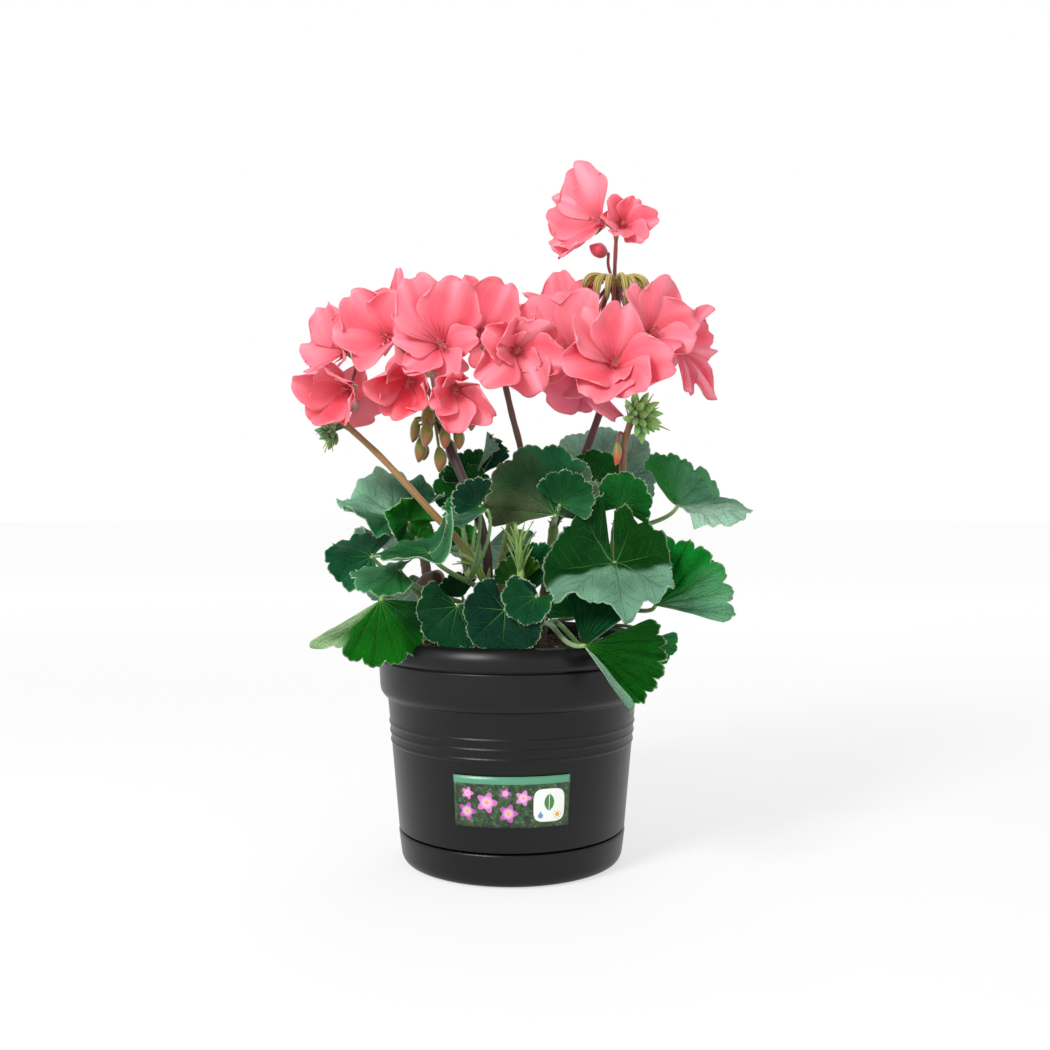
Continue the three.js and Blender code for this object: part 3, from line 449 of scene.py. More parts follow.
def labelFinish():
    f = Finish("label print")
    across, along = f.surfacePlace()
    x = across * labelLook["wide"]
    y = along * labelLook["high"]
    edge = labelLook["edge"]

    def away(x0, y0):
        return ((x - x0) ** 2.0 + (y - y0) ** 2.0) ** 0.5

    def disc(x0, y0, radius):
        return 1 - away(x0, y0).over(radius - edge, radius + edge)

    def rays(x0, y0, count):  # goes from -1 to 1 and back, count times round a point
        return (f.node("ShaderNodeMath", {"operation": "ARCTAN2"}, (y - y0, x - x0)) * count).math("COSINE")

    foliage = f.grain(labelLook["foliage"], 6.0, 0.7)
    fleck = 1 - f.cells(labelLook["fleck"], "F1").over(0.12, 0.4)
    color = f.both(labelLook["shade"], labelLook["mid"], foliage.over(0.36, 0.66))
    color = f.both(color, labelLook["light"], fleck * foliage.over(0.46, 0.66) * 0.7)
    foot = labelLook["bandFoot"]
    color = f.both(color, labelLook["band"], y.over(foot, foot + 2 * edge))
    for x0, y0, radius, tone in labelLook["blossoms"]:
        reach = rays(x0, y0, 5) * 0.2 * radius + 0.8 * radius
        bloom = 1 - (away(x0, y0) - reach).over(-edge, edge)
        heart = 1 - (away(x0, y0) / radius).over(0.2, 0.75)
        color = f.both(color, tone, bloom)
        color = f.both(color, labelLook["blossomHeart"], bloom * heart * 0.6)
        color = f.both(color, labelLook["sun"], disc(x0, y0, radius * 0.2))
    sign = labelLook["panel"]
    x0, y0 = sign["at"]
    halfWide, halfHigh = sign["half"]
    panel = (abs(x - x0) / halfWide) ** 4.0 + (abs(y - y0) / halfHigh) ** 4.0
    color = f.both(color, labelLook["paper"], 1 - panel.over(0.95, 1.05))
    sign = labelLook["leafSign"]
    x0, y0 = sign["at"]
    leaf = disc(x0 - sign["apart"], y0, sign["radius"]) * disc(x0 + sign["apart"], y0, sign["radius"])
    color = f.both(color, labelLook["leaf"], leaf)
    color = f.both(color, labelLook["paper"], (1 - abs(x - x0).over(0.08, 0.25)) * leaf)
    sign = labelLook["dropSign"]
    x0, y0 = sign["at"]
    cone = (1 - (abs(x - x0) + (y - y0 - 0.1) * 0.5).over(1.15, 1.3)) * y.over(y0, y0 + 0.2)
    drop = f.node("ShaderNodeMath", {"operation": "MAXIMUM"}, (cone, disc(x0, y0, sign["radius"])))
    color = f.both(color, labelLook["drop"], drop)
    sign = labelLook["sunSign"]
    x0, y0 = sign["at"]
    ring = away(x0, y0).over(1.5, 1.65) * (1 - away(x0, y0).over(2.2, 2.4))
    color = f.both(color, labelLook["sun"], rays(x0, y0, sign["rays"]).over(0.2, 0.5) * ring)
    color = f.both(color, labelLook["sun"], disc(x0, y0, sign["radius"]))
    return f.done(f.solid(Base_Color=color, Roughness=0.3, Normal=f.bump(foliage, 0.1, 0.0001)))


print("making finishes")
finishes = {
    "plastic": plasticFinish(),
    "soil": soilFinish(),
    "crumb": crumbFinish(),
    "bark": skinFinish("stem skin", barkLook),
    "stalk": skinFinish("stalk skin", stalkLook),
    "leafTop": leafTopFinish(),
    "leafUnder": leafUnderFinish(),
    "fringe": fringeFinish(),
    "petal": petalFinish("petal face", 0.0),
    "petalBack": petalFinish("petal back", 0.35),
    "bud": budFinish(),
    "label": labelFinish(),
}


# shapes: grids and turned outlines are gathered in one bmesh for each piece; a spot gives the
# place for the shares u across and v along, and a tint its colour

class Shape:
    def __init__(self, looks):
        self.bm = bmesh.new()
        self.place = self.bm.loops.layers.uv.new("place")
        self.tint = self.bm.verts.layers.float_color.new("tint")
        self.shift = self.bm.verts.layers.float_vector.new("shift")
        self.looks = looks

    def grid(self, across, along, spot, tint=(1, 1, 1, 1), look=0):
        made = bmesh.ops.create_grid(self.bm, x_segments=across, y_segments=along, size=0.5)["verts"]
        faces = {face for vert in made for face in vert.link_faces}
        for face in faces:
            face.smooth = True
            face.material_index = look
            for loop in face.loops:
                loop[self.place].uv = (loop.vert.co.x + 0.5, loop.vert.co.y + 0.5)
        for vert in made:
            u, v = vert.co.x + 0.5, vert.co.y + 0.5
            vert[self.tint] = tint(u, v) if callable(tint) else tint
            vert.co = spot(u, v)
        return made, list(faces)

    # a thin blade: its front, its back and its edge each take a look
    def blade(self, across, along, spot, tint, thickness, looks):
        made, faces = self.grid(across, along, spot, tint, looks[0])
        bmesh.ops.remove_doubles(self.bm, verts=made, dist=1e-4)
        faces = [face for face in faces if face.is_valid]
        verts = {vert for face in faces for vert in face.verts}
        for vert in verts:
            vert.normal_update()
            vert[self.shift] = vert.normal * -thickness
        edges = {edge for face in faces for edge in face.edges}
        made = bmesh.ops.extrude_face_region(self.bm, geom=[*faces, *edges], use_keep_orig=True)["geom"]
        back = {item for item in made if isinstance(item, bmesh.types.BMFace)}
        for vert in {vert for face in back for vert in face.verts} - verts:
            vert.co += vert[self.shift]
        whole = {face for vert in verts for face in vert.link_faces} | back
        for face in whole - set(faces):
            face.material_index = looks[2] if any(vert in verts for vert in face.verts) else looks[1]
            face.smooth = True
        bmesh.ops.recalc_face_normals(self.bm, faces=list(whole))

    def tube(self, points, radii, sides, tint, look=0, lobes=0, depth=0.0):
        last = len(points) - 1
        frames = alongFrames(points)

        def spot(u, v):
            k = round(v * last)
            side, other = frames[k]
            turn = u * math.tau
            reach = radii[k] * (1 - depth * (0.5 + 0.5 * math.cos(turn * lobes)))
            return points[k] + side * (math.cos(turn) * reach) + other * (math.sin(turn) * reach)

        self.closed(sides, last, spot, tint, look)

    def closed(self, across, along, spot, tint, look=0):  # a grid that meets itself, with both ends filled
        made, faces = self.grid(across, along, spot, tint, look)
        bmesh.ops.remove_doubles(self.bm, verts=made, dist=1e-4)
        ends = [e for e in {e for f in faces if f.is_valid for e in f.edges} if e.is_boundary]
        caps = bmesh.ops.holes_fill(self.bm, edges=ends, sides=0)["faces"]
        for face in caps:
            face.material_index = look
            face.smooth = True
        bmesh.ops.recalc_face_normals(self.bm, faces=[f for f in faces if f.is_valid] + caps)

    def turned(self, outline, steps):
        verts = [self.bm.verts.new((r, 0, z)) for r, z in outline]
        edges = [self.bm.edges.new(pair) for pair in zip(verts, verts[1:])]
        bmesh.ops.spin(self.bm, geom=verts + edges, cent=(0, 0, 0), axis=(0, 0, 1),
                       angle=math.tau, steps=steps, use_merge=True, use_duplicate=False)
        bmesh.ops.remove_doubles(self.bm, verts=self.bm.verts[:], dist=1e-4)
        bmesh.ops.recalc_face_normals(self.bm, faces=self.bm.faces[:])
        for face in self.bm.faces:
            face.smooth = True

    def finish(self, name, slot, nodes=(), sharp=None):
        bmesh.ops.scale(self.bm, vec=(mm, mm, mm), verts=self.bm.verts[:])
        mesh = bpy.data.meshes.new(name)
        self.bm.to_mesh(mesh)
        self.bm.free()
        for look in self.looks:
            mesh.materials.append(finishes[look])
        if sharp:
            mesh.set_sharp_from_angle(angle=math.radians(sharp))
        piece = linked(name, mesh)
        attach(piece, "root")
        if nodes:
            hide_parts(*nodes)
        return piece


def around(ahead, aside, turn):
    return ahead * math.cos(turn) + aside * math.sin(turn)


def alongFrames(points):  # two ways square to the line at each of its points, without twist
    last = len(points) - 1
    heads = [(points[min(k + 1, last)] - points[max(k - 1, 0)]).normalized() for k in range(last + 1)]
    side = heads[0].cross(Vector((0, 0, 1)) if abs(heads[0].z) < 0.9 else Vector((1, 0, 0))).normalized()
    frames = []
    for head in heads:
        side = (side - head * side.dot(head)).normalized()
        frames.append((side, head.cross(side)))
    return frames


def smoothLine(points, share):  # a centripetal Catmull-Rom line through the points
    knots = [Vector(p) for p in points]
    last = len(knots) - 1
    k = min(int(last * share), last - 1)
    w = last * share - k
    p1, p2 = knots[k], knots[k + 1]
    p0 = knots[k - 1] if k > 0 else p1 * 2 - p2
    p3 = knots[k + 2] if k + 2 <= last else p2 * 2 - p1
    d0, d1, d2 = [(b - a).length ** 0.5 for a, b in ((p0, p1), (p1, p2), (p2, p3))]
    t1 = ((p1 - p0) / d0 - (p2 - p0) / (d0 + d1) + (p2 - p1) / d1) * d1
    t2 = ((p2 - p1) / d1 - (p3 - p1) / (d1 + d2) + (p3 - p2) / d2) * d1
    c2 = p1 * -3 + p2 * 3 - t1 * 2 - t2
    c3 = p1 * 2 - p2 * 2 + t1 + t2
    return p1 + t1 * w + c2 * w ** 2 + c3 * w ** 3


def line(points, steps):
    return [smoothLine(points, k / steps) for k in range(steps + 1)]


def arc(a, b, c, d, steps):
    found = []
    for k in range(steps + 1):
        t = k / steps
        found.append(a * (1 - t) ** 3 + b * (3 * t * (1 - t) ** 2) + c * (3 * t * t * (1 - t)) + d * t ** 3)
    return found


def rounded(outline, steps=5):  # (radius, height, corner radius) rows, with the corners as arcs
    points = []
    for k, (r, z, bend) in enumerate(outline):
        here = Vector((r, z))
        if bend == 0 or k in (0, len(outline) - 1):
            points.append((r, z))
            continue
        before, after = Vector(outline[k - 1][:2]), Vector(outline[k + 1][:2])
        back, on = before - here, after - here
        cut = min(bend, back.length * 0.49, on.length * 0.49)
        start, end = here + back.normalized() * cut, here + on.normalized() * cut
        for i in range(steps + 1):
            t = i / steps
            p = start * (1 - t) ** 2 + here * (2 * t * (1 - t)) + end * t * t
            points.append((p.x, p.y))
    return points


# pot and saucer; an outline's rows are radius, height and corner radius, from the underside's middle
# out, up and back inside

pot = {
    "foot": 63, "wallTop": 69.5, "grooveTop": 19.2, "bandFoot": 93,
    "base": [(0, 3.3, 0), (56.5, 3.3, 1.5), (59.2, 6, 2), (60.2, 19, 0.3), (63, 19.2, 0.5)],
    "rings": (67.4, 72.5, 77.6), "ring": ((-1.1, 0), (-0.45, 0.55), (0.45, 0.55), (1.1, 0)), "ringBend": 0.5,
    "band": [(69.5, 91.6, 1.2), (71.2, 92.4, 1.0), (73.2, 95.2, 1.8), (73.7, 98, 1.5), (74.4, 112.0, 0.6)],
    "lip": [(73.4, 112.8, 0.4), (73.4, 113.6, 0.3), (75.0, 113.7, 0.5), (75.9, 115.4, 1.2),
            (75.7, 120.2, 4.5), (73.0, 124.6, 4), (69.0, 125.2, 1.4), (67.6, 123.6, 1.2)],
    "inside": [(66.8, 92, 1), (60.2, 21, 1), (56.5, 6, 2), (0, 6, 0)],
    "steps": 160, "sharp": 50,
}
saucer = [
    (0, 0, 0), (56.6, 0, 1.6), (60.0, 1.2, 2.4), (61.5, 4.2, 2.0), (63.2, 17.3, 0.7), (62.6, 18.2, 0.4),
    (61.5, 18.2, 0.3), (60.9, 17, 0.8), (59.8, 4.6, 1.2), (58.6, 3.0, 0.8), (0, 3.0, 0),
]


def wallAt(z):
    return mix(pot["foot"], pot["wallTop"], (z - pot["grooveTop"]) / (pot["bandFoot"] - pot["grooveTop"]))


def makeTurned(name, node, outline):
    shape = Shape(["plastic"])
    shape.turned(rounded(outline), pot["steps"])
    shape.finish(name, "dark_plastic", [node], pot["sharp"])


def makePot():
    bend = pot["ringBend"]
    rings = [(wallAt(z + dz) + out, z + dz, bend) for z in pot["rings"] for dz, out in pot["ring"]]
    makeTurned("pot_shell", "pot", pot["base"] + rings + pot["band"] + pot["lip"] + pot["inside"])


# soil: a rough mound with crumbs, bark chips and fibres on it

soil = {
    "level": 117.5, "rise": 1.4, "sunk": 0.6, "edge": 66.6, "across": 150, "along": 46,
    "wall": 67, "calm": 60, "grain": 0.16, "rough": 1.3,
    "side": ((66.6, 0), (66.3, 92.2), (59.8, 21.2), (56.2, 6.6), (0, 6.6)),
    "crumbs": 1100, "chips": 90, "fibres": 60, "reach": 64.5, "seed": 7,
    "tones": ("1d120c", "2c1a10", "3a2416", "4a2e1b", "5d3d24", "7a5a3a", "a58a66"),
}


def soilHeight(x, y):
    r = math.hypot(x, y)
    rough = noise.fractal(Vector((x, y, 3.1)) * soil["grain"], 0.8, 2.0, 4) * soil["rough"]
    mound = soil["level"] + soil["rise"] * (1 - (r / soil["wall"]) ** 2) - soil["sunk"]
    return mound + rough * (1 - ease(soil["calm"], soil["wall"], r))


def makeSoil():
    shape = Shape(["soil"])

    def top(u, v):
        turn, r = u * math.tau, soil["edge"] * v ** 0.8
        x, y = r * math.cos(turn), r * math.sin(turn)
        return Vector((x, y, soilHeight(x, y)))

    def side(u, v):
        turn = u * math.tau
        r, z = soil["side"][round(v * 4)]
        return Vector((r * math.cos(turn), r * math.sin(turn), z)) if v > 0 else top(u, 1)

    shape.grid(soil["across"], soil["along"], top)
    shape.grid(soil["across"], 4, side)
    bmesh.ops.remove_doubles(shape.bm, verts=shape.bm.verts[:], dist=1e-3)
    bmesh.ops.recalc_face_normals(shape.bm, faces=shape.bm.faces[:])
    shape.finish("soil_mound", "potting_soil", ["soil"])


def makeCrumbs():
    draw = random.Random(soil["seed"])
    shape = Shape(["crumb"])
    colors = [ink(tone) for tone in soil["tones"]]
    for k in range(soil["crumbs"] + soil["chips"] + soil["fibres"]):
        r, turn = soil["reach"] * draw.random() ** 0.5, draw.random() * math.tau
        x, y = r * math.cos(turn), r * math.sin(turn)
        size = draw.uniform(0.35, 1.3)
        stretch = (1, draw.uniform(0.7, 1), draw.uniform(0.5, 0.9))
        if k >= soil["crumbs"]:
            size, stretch = draw.uniform(1.3, 2.6), (1, draw.uniform(0.35, 0.6), 0.25)
        if k >= soil["crumbs"] + soil["chips"]:
            size, stretch = draw.uniform(3, 6), (1, 0.06, 0.06)
        made = bmesh.ops.create_icosphere(shape.bm, subdivisions=1, radius=size)["verts"]
        turnBy = Matrix.Rotation(draw.random() * math.tau, 3, "Z")
        turnBy = turnBy @ Matrix.Rotation(draw.uniform(-0.5, 0.5), 3, "X")
        tint = draw.choice(colors)
        base = Vector((x, y, soilHeight(x, y) + size * stretch[2] * 0.3))
        for vert in made:
            vert.co = Vector([c * s * draw.uniform(0.75, 1.2) for c, s in zip(vert.co, stretch)])
            vert.co = base + turnBy @ vert.co
            vert[shape.tint] = tint
    shape.finish("soil_crumbs", "potting_soil")


# label: a curved strip on the front of the pot

label = {"low": 33, "high": 59.5, "left": -26, "right": 27, "gap": 0.9, "thickness": 0.35}


def makeLabel():
    shape = Shape(["label"])

    def spot(u, v):
        z = mix(label["low"], label["high"], v)
        turn = math.radians(mix(label["left"], label["right"], u))
        r = wallAt(z) + label["gap"]
        return Vector((r * math.sin(turn), -r * math.cos(turn), z))

    shape.blade(40, 8, spot, (1, 1, 1, 1), label["thickness"], (0, 0, 0))
    shape.finish("care_label_print", "label_paper", ["care_label"])


# stems: points, foot and top radius, foot and top colour

stems = {
    "stem_centre": ([(-10, -6, 106), (-12, -9, 132), (-13.6, -15, 158)], 4.6, 3.6, "5c4634", "8aa04e"),
    "stem_left": ([(-34, 4, 106), (-42, 6, 130), (-47, 4, 152), (-52, 8, 178)], 5.2, 2.2, "3f1f14", "55402a"),
    "stem_mid": ([(14, 8, 106), (18, 8, 140), (22, 6, 170), (24, 8, 188)], 3.8, 2.5, "5b4432", "6f9046"),
    "stem_right": ([(40, -2, 106), (48, -2, 135), (56, 0, 165), (60, 2, 190)], 4.2, 2.5, "5b4432", "6f9046"),
    "young_shoot": ([(6, -22, 106), (6, -24, 135), (5, -23, 160), (4, -22, 176)], 2.6, 1.6,
                    "6d8f3f", "9cc061"),
    "stem_back": ([(-4, 36, 106), (-8, 42, 140), (-4, 43, 172), (1, 34, 192)], 4.2, 2.6, "5b4432", "6f9046"),
}
stemForm = {
    "steps": 60, "sides": 18, "joints": 3, "first": 2 / 3, "swell": 0.14, "end": 0.7,
    "lumps": 0.35, "grain": 0.12, "tufts": (0.72, 0.86, 0.98), "scales": 0.96,
}
knuckle = {
    "points": [(-50, 4, 150), (-47, 1, 154), (-42, -3, 156), (-39.5, -5, 157)],
    "foot": 5.6, "top": 4.6, "end": 0.6, "steps": 12, "sides": 16, "tint": "4a1f14",
}


def onStem(name, share):
    return smoothLine(stems[name][0], share)


def makeStem(name):
    points, foot, top, low, high = stems[name]
    steps = stemForm["steps"]
    spine = line(points, steps)
    radii = []
    for k in range(steps + 1):
        t = k / steps
        wave = math.cos(math.tau * (t * stemForm["joints"] - stemForm["first"]))
        joint = stemForm["swell"] * max(0, wave) ** 4
        radii.append(mix(foot, top, t) * (1 + joint if k < steps else stemForm["end"]))
    shape = Shape(["bark"])
    shape.tube(spine, radii, stemForm["sides"], lambda u, v: shade(low, high, ease(0.2, 0.85, v)))
    for vert in shape.bm.verts:
        away = noise.noise(vert.co * 0.45) * stemForm["lumps"]
        away += noise.noise(vert.co * 1.3) * stemForm["grain"]
        middle = min(spine, key=lambda p: (p - vert.co).length_squared)
        vert.co += (vert.co - middle).normalized() * away
    if name == "stem_left":  # an old cut
        last = knuckle["steps"]
        radii = [mix(knuckle["foot"], knuckle["top"], k / last) for k in range(last + 1)]
        radii[-2:] = [r * knuckle["end"] for r in radii[-2:]]
        shape.tube(line(knuckle["points"], last), radii, knuckle["sides"], ink(knuckle["tint"]))
    if name == "young_shoot":
        for seed, share in enumerate(stemForm["tufts"], 1):
            scales(shape, onStem(name, share), Vector((0, 0, 1)), "tuft", seed)
    if name == "stem_centre":
        scales(shape, onStem(name, stemForm["scales"]), Vector((0, 0, 1)), "joint", 1)
    slot = "young_green" if name == "young_shoot" else "woody_stem"
    shape.finish(name + "_bark", slot, [name])


# flower stalks, with the stalklets of their florets: points, foot and top radius, foot and top colour,
# and the share of the height at which the colour turns

stalks = {
    "flower_stalk_left": (
        [(-14, -15, 154), (-28, -18, 176), (-45, -20, 195), (-72, -19, 224), (-94, -15, 244)], 2.3, 1.7,
        "6f8a38", "94703f", 0.12),
    "flower_stalk_centre_left": (
        [(-13, -14, 154), (-14, -17, 174), (-18, -18, 190), (-30, -14, 219), (-43, -8, 249)], 3, 2.4,
        "2c1614", "34201f", 0.1),
    "flower_stalk_centre": (
        [(1, 34, 190), (6, 22, 208), (5, 9, 228), (0, 5, 248), (-5, 3, 270)], 2, 1.8,
        "4a3026", "5f4434", 0.2),
    "flower_stalk_right": (
        [(24, 8, 186), (33, 8, 207), (42, 8, 228), (50, 8, 250), (62, 6, 286), (58, 4, 322)], 2.6, 1.9,
        "2a1616", "5f2f30", 0.3),
    "flower_stalk_far_right": (
        [(60, 2, 188), (61.5, -3, 210), (63, -5, 232), (67, -7, 246)], 2.2, 1.9, "6f3a2c", "80563a", 0.2),
}

# florets: node, stalk, eye, facing, size, openness, petals, more
# a petal row holds its turn round the eye, its length and width shares and what it adds to the openness
fivePetals = [(-33, 1, 1, 0), (33, 1, 1, 0), (-105, 0.9, 1, 0), (105, 0.9, 1, 0), (180, 0.88, 1, 0)]
fourPetals = fivePetals[:4]

florets = [
    ("floret_a", "flower_stalk_left", (-88.5, -32, 259.5), (-0.58, -0.72, -0.38), 0.74, 46,
     [(-60, 1.1, 1.1, 0), (12, 0.88, 1.1, -4), (-125, 1.05, 1.1, 0), (80, 0.72, 0.95, -4),
      (150, 0.85, 1, -4)],
     {"blush": 0.55, "tilt": 0.14, "cup": 0.22, "crimp": 0.7}),
    ("floret_b", "flower_stalk_left", (-96, -2, 284), (-0.7, -0.6, 0.35), 0.84, 60,
     [(-20, 1, 1.1, 0), (42, 0.8, 1, 0), (-85, 0.9, 1.1, 8), (-150, 0.8, 1, 12), (110, 0.7, 0.9, 6)],
     {"crimp": 1.5}),
    ("floret_c", "flower_stalk_centre_left", (-68, -20, 289), (-0.4, -0.86, 0.2), 0.84, 58,
     [(-40, 1.15, 1.15, 2), (32, 0.95, 1.15, 0), (-98, 1, 1.1, -8), (104, 0.8, 1, -18), (178, 1.1, 1.2, -18)],
     {"tilt": 0.18, "cup": 0.16}),
    ("floret_d", "flower_stalk_centre_left", (-68, 12, 306), (-0.25, -0.3, 0.9), 0.72, 52,
     [*fivePetals, (0, 1.1, 0.45, -40)], {}),
    ("floret_e", "flower_stalk_centre_left", (-37, -42, 282), (-0.06, -0.98, 0.16), 1.15, 82,
     [(-23, 1, 0.95, 0), (21, 1, 0.95, 0), (-80, 0.66, 0.8, -8), (84, 0.55, 0.8, -12), (-136, 0.64, 0.8, -16),
      (156, 0.56, 0.8, -14)], {"cup": 0.04, "mark": 1.0}),
    ("floret_f", "flower_stalk_centre_left", (-54, -40, 263), (-0.2, -0.8, -0.5), 0.62, 50,
     [(-75, 1.12, 1.15, 0), (-8, 0.8, 1.05, -6), (62, 0.85, 1.05, -2), (128, 0.85, 1.1, -2),
      (-142, 1.05, 1.15, 0)],
     {"throat": 40, "on": "floret_e", "blush": 1.1, "tilt": 0.08, "cup": 0.28, "crimp": 0.6}),
    ("floret_g", "flower_stalk_centre_left", (-29, -50, 258), (0.05, -0.85, -0.45), 0.68, 58,
     [(-62, 0.68, 0.95, -12), (0, 0.62, 0.95, -12), (62, 0.66, 0.95, -12), (122, 1.15, 1.1, 6),
      (176, 0.95, 1, 2), (-130, 0.72, 0.95, -6)], {"blush": 0.6, "cup": 0.16}),
    ("floret_h", "flower_stalk_centre", (-17, -22, 289), (0.02, -0.85, 0.5), 0.98, 70,
     [(-23, 1.05, 0.98, 0), (24, 1.1, 1.02, 0), (-98, 0.6, 0.8, -16), (-150, 0.75, 0.9, -8)], {"mark": 0.6}),
    ("floret_i", "flower_stalk_centre", (3, -42, 279), (0.25, -0.92, -0.05), 0.72, 74,
     [(-65, 0.95, 1.1, 0), (-8, 0.8, 1.1, -18), (50, 1, 1.1, -4), (104, 1.05, 1.1, 2), (158, 1.1, 1.1, 4),
      (-130, 1.3, 1.15, 4), (-95, 0.6, 0.9, -26), (20, 0.55, 0.9, -30), (130, 0.6, 0.9, -24)],
     {"blush": 0.2, "crimp": 2.0}),
    ("floret_j", "flower_stalk_right", (31, -18, 282), (-0.4, -0.87, 0.25), 0.9, 74,
     [(-14, 1.15, 1.05, 0), (-62, 0.95, 1, -4), (-112, 0.88, 1, 0), (-165, 0.85, 1, 0),
      (36, 1.15, 1.05, 2), (-38, 1.2, 1.1, 2)], {"tilt": 0.2, "crimp": 0.6}),
    ("floret_k", "flower_stalk_right", (30, 19, 305), (-0.35, -0.3, 0.88), 0.78, 56,
     [(-33, 1.15, 1.05, -24), (33, 0.95, 1, -8), (-105, 1.1, 1, -20), (105, 0.9, 0.9, 4), (180, 0.85, 1, 0),
      (66, 1.25, 1.1, 20)], {"crimp": 0.8}),
    ("floret_l", "flower_stalk_right", (54, -44, 272), (0.02, -0.95, 0.25), 0.98, 80,
     [(-34, 1.02, 1, 0), (6, 1.02, 1, 0), (-108, 0.92, 1, -22), (-156, 0.98, 1.05, -26),
      (150, 0.96, 1.05, -26), (100, 1.0, 0.95, -14), (172, 0.55, 0.95, -44)], {"mark": 0.8}),
    ("floret_m", "flower_stalk_right", (76, -22, 291), (0.45, -0.78, 0.42), 0.88, 68,
     [(22, 1.1, 1.15, 0), (78, 0.95, 1.1, 0), (-36, 1.0, 0.95, -4), (130, 0.85, 1, -4), (180, 0.75, 1, -8)],
     {"tilt": 0.2}),
    ("floret_n", "flower_stalk_right", (94, 0, 286), (0.8, -0.55, 0.1), 0.8, 68,
     [(-20, 0.85, 1, 0), (34, 1.0, 1.05, 0), (90, 1.0, 1, 2), (152, 1.35, 0.6, 10), (-158, 1.25, 0.55, 12)],
     {"dusk": 0.3, "crimp": 3.2}),
    ("floret_o", "flower_stalk_right", (40, -4, 265), (-0.25, -0.35, -0.9), 0.76, 62,
     [(-70, 0.85, 1, 0), (-132, 0.7, 1, 0), (62, 0.85, 1.1, 0), (128, 1.1, 1.1, 0), (180, 0.62, 1, 0)],
     {"dusk": 0.9, "tilt": 0.8}),
    ("floret_p", "flower_stalk_right", (49, -3, 356), (-0.8, -0.58, 0.1), 1, 66,
     [(-24, 1.14, 0.95, 12), (-64, 0.94, 1.1, 2), (-104, 0.88, 1.05, -6), (-142, 0.86, 1, -14)],
     {"crimp": 1.5}),
    ("floret_q", "flower_stalk_right", (62, -8, 354), (0.25, -0.92, 0.2), 0.5, 54,
     [(-38, 0.95, 1.1, 0), (26, 0.95, 1.1, 0), (84, 1.15, 1.1, 4), (140, 0.95, 1.1, 0), (-98, 0.85, 1, 0),
      (-160, 0.85, 1, 0)], {"cup": 0.03}),
    ("floret_r", "flower_stalk_centre_left", (-50, 38, 277), (-0.2, 0.9, 0.4), 0.86, 74, fourPetals, {}),
    ("floret_s", "flower_stalk_left", (-94, 18, 255), (-0.55, 0.83, 0.1), 0.82, 70, fourPetals, {}),
    ("floret_t", "flower_stalk_centre", (-5, 34, 288), (0.1, 0.85, 0.5), 0.88, 74, fourPetals, {}),
    ("floret_u", "flower_stalk_right", (72, 36, 286), (0.35, 0.88, 0.25), 0.9, 74, fourPetals, {}),
]

stalkForm = {"steps": 48, "sides": 14, "unevenness": 0.04, "head": (0.5, 1.1, 0.9)}
stalklet = {"radius": 1.0, "steps": 12, "sides": 8, "low": "8a3f3a", "high": "8f8f45"}
loneBuds = {
    "bud_top": {"root": (54, -5, 338), "heading": (-0.8, -0.3, 0.25), "foot": 1.0, "long": 11, "wide": 5.4,
                "low": "b02438", "high": "e84a5c", "sides": 14, "nodes": ["bud_top"]},
    "bud_hanging": {"root": (58.2, -10.4, 232), "heading": (-0.05, -0.02, -1), "foot": 0.0, "long": 13,
                    "wide": 3.1, "low": "8a8a3c", "high": "e04a2a", "sides": 12, "nodes": []},
}
hangingStalklet = [(62.8, -5, 236), (60, -9, 237.5), (58, -10.5, 231)]


def stalkEnd(name):
    return Vector(stalks[name][0][-1])


def floretFrame(face):
    a = Vector(face).normalized()
    up = Vector((0, 1, 0)) if abs(a.z) > 0.95 else Vector((0, 0, 1))
    up = (up - a * up.dot(a)).normalized()
    return a, up, up.cross(a)


def stalkletLine(stalk, at, face):
    a = floretFrame(face)[0]
    hub = stalkEnd(stalk)
    end = Vector(at) - a * 5
    reach = (end - hub).length
    first = hub + Vector((0, 0, 1)) * reach * 0.25 + (end - hub) * 0.15
    return arc(hub, first, end - a * reach * 0.35, end, stalklet["steps"])


def makeStalk(name):
    points, foot, top, low, high, blend = stalks[name]
    steps, last = stalkForm["steps"], stalklet["steps"]
    spine = line(points, steps)
    uneven = [1 + stalkForm["unevenness"] * math.sin(k * 0.9) for k in range(steps + 1)]
    radii = [mix(foot, top, k / steps) * uneven[k] for k in range(steps + 1)]
    for k, grow in enumerate(stalkForm["head"], steps - 2):
        radii[k] += grow
    shape = Shape(["stalk"])
    shape.tube(spine, radii, stalkForm["sides"], lambda u, v: shade(low, high, ease(blend, blend + 0.25, v)))
    widths = [stalklet["radius"] * mix(1.05, 1.25, ease(0.6, 1, k / last)) for k in range(last + 1)]
    for node, stalk, at, face, *rest in florets:
        if stalk == name:
            shape.tube(stalkletLine(stalk, at, face), widths, stalklet["sides"],
                       lambda u, v: shade(stalklet["low"], stalklet["high"], ease(0.55, 1, v)))
    if name == "flower_stalk_right":
        hub, end = stalkEnd(name), Vector(loneBuds["bud_top"]["root"])
        route = line([hub, end.lerp(hub, 0.4) + Vector((-1.5, 0, 0)), end], 8)
        shape.tube(route, [0.9] * 9, stalklet["sides"], ink(stalklet["low"]))
    if name == "flower_stalk_far_right":
        shape.tube(line(hangingStalklet, 10), [0.85] * 11, stalklet["sides"], ink(stalklet["low"]))
    scales(shape, stalkEnd(name), (spine[-1] - spine[-3]).normalized(), "bract")
    if name == "flower_stalk_left":
        scales(shape, spine[7], (spine[9] - spine[6] + Vector((-4, 0, 0))).normalized(), "joint", 2)
    shape.finish(name + "_skin", "flower_stalk", [name])


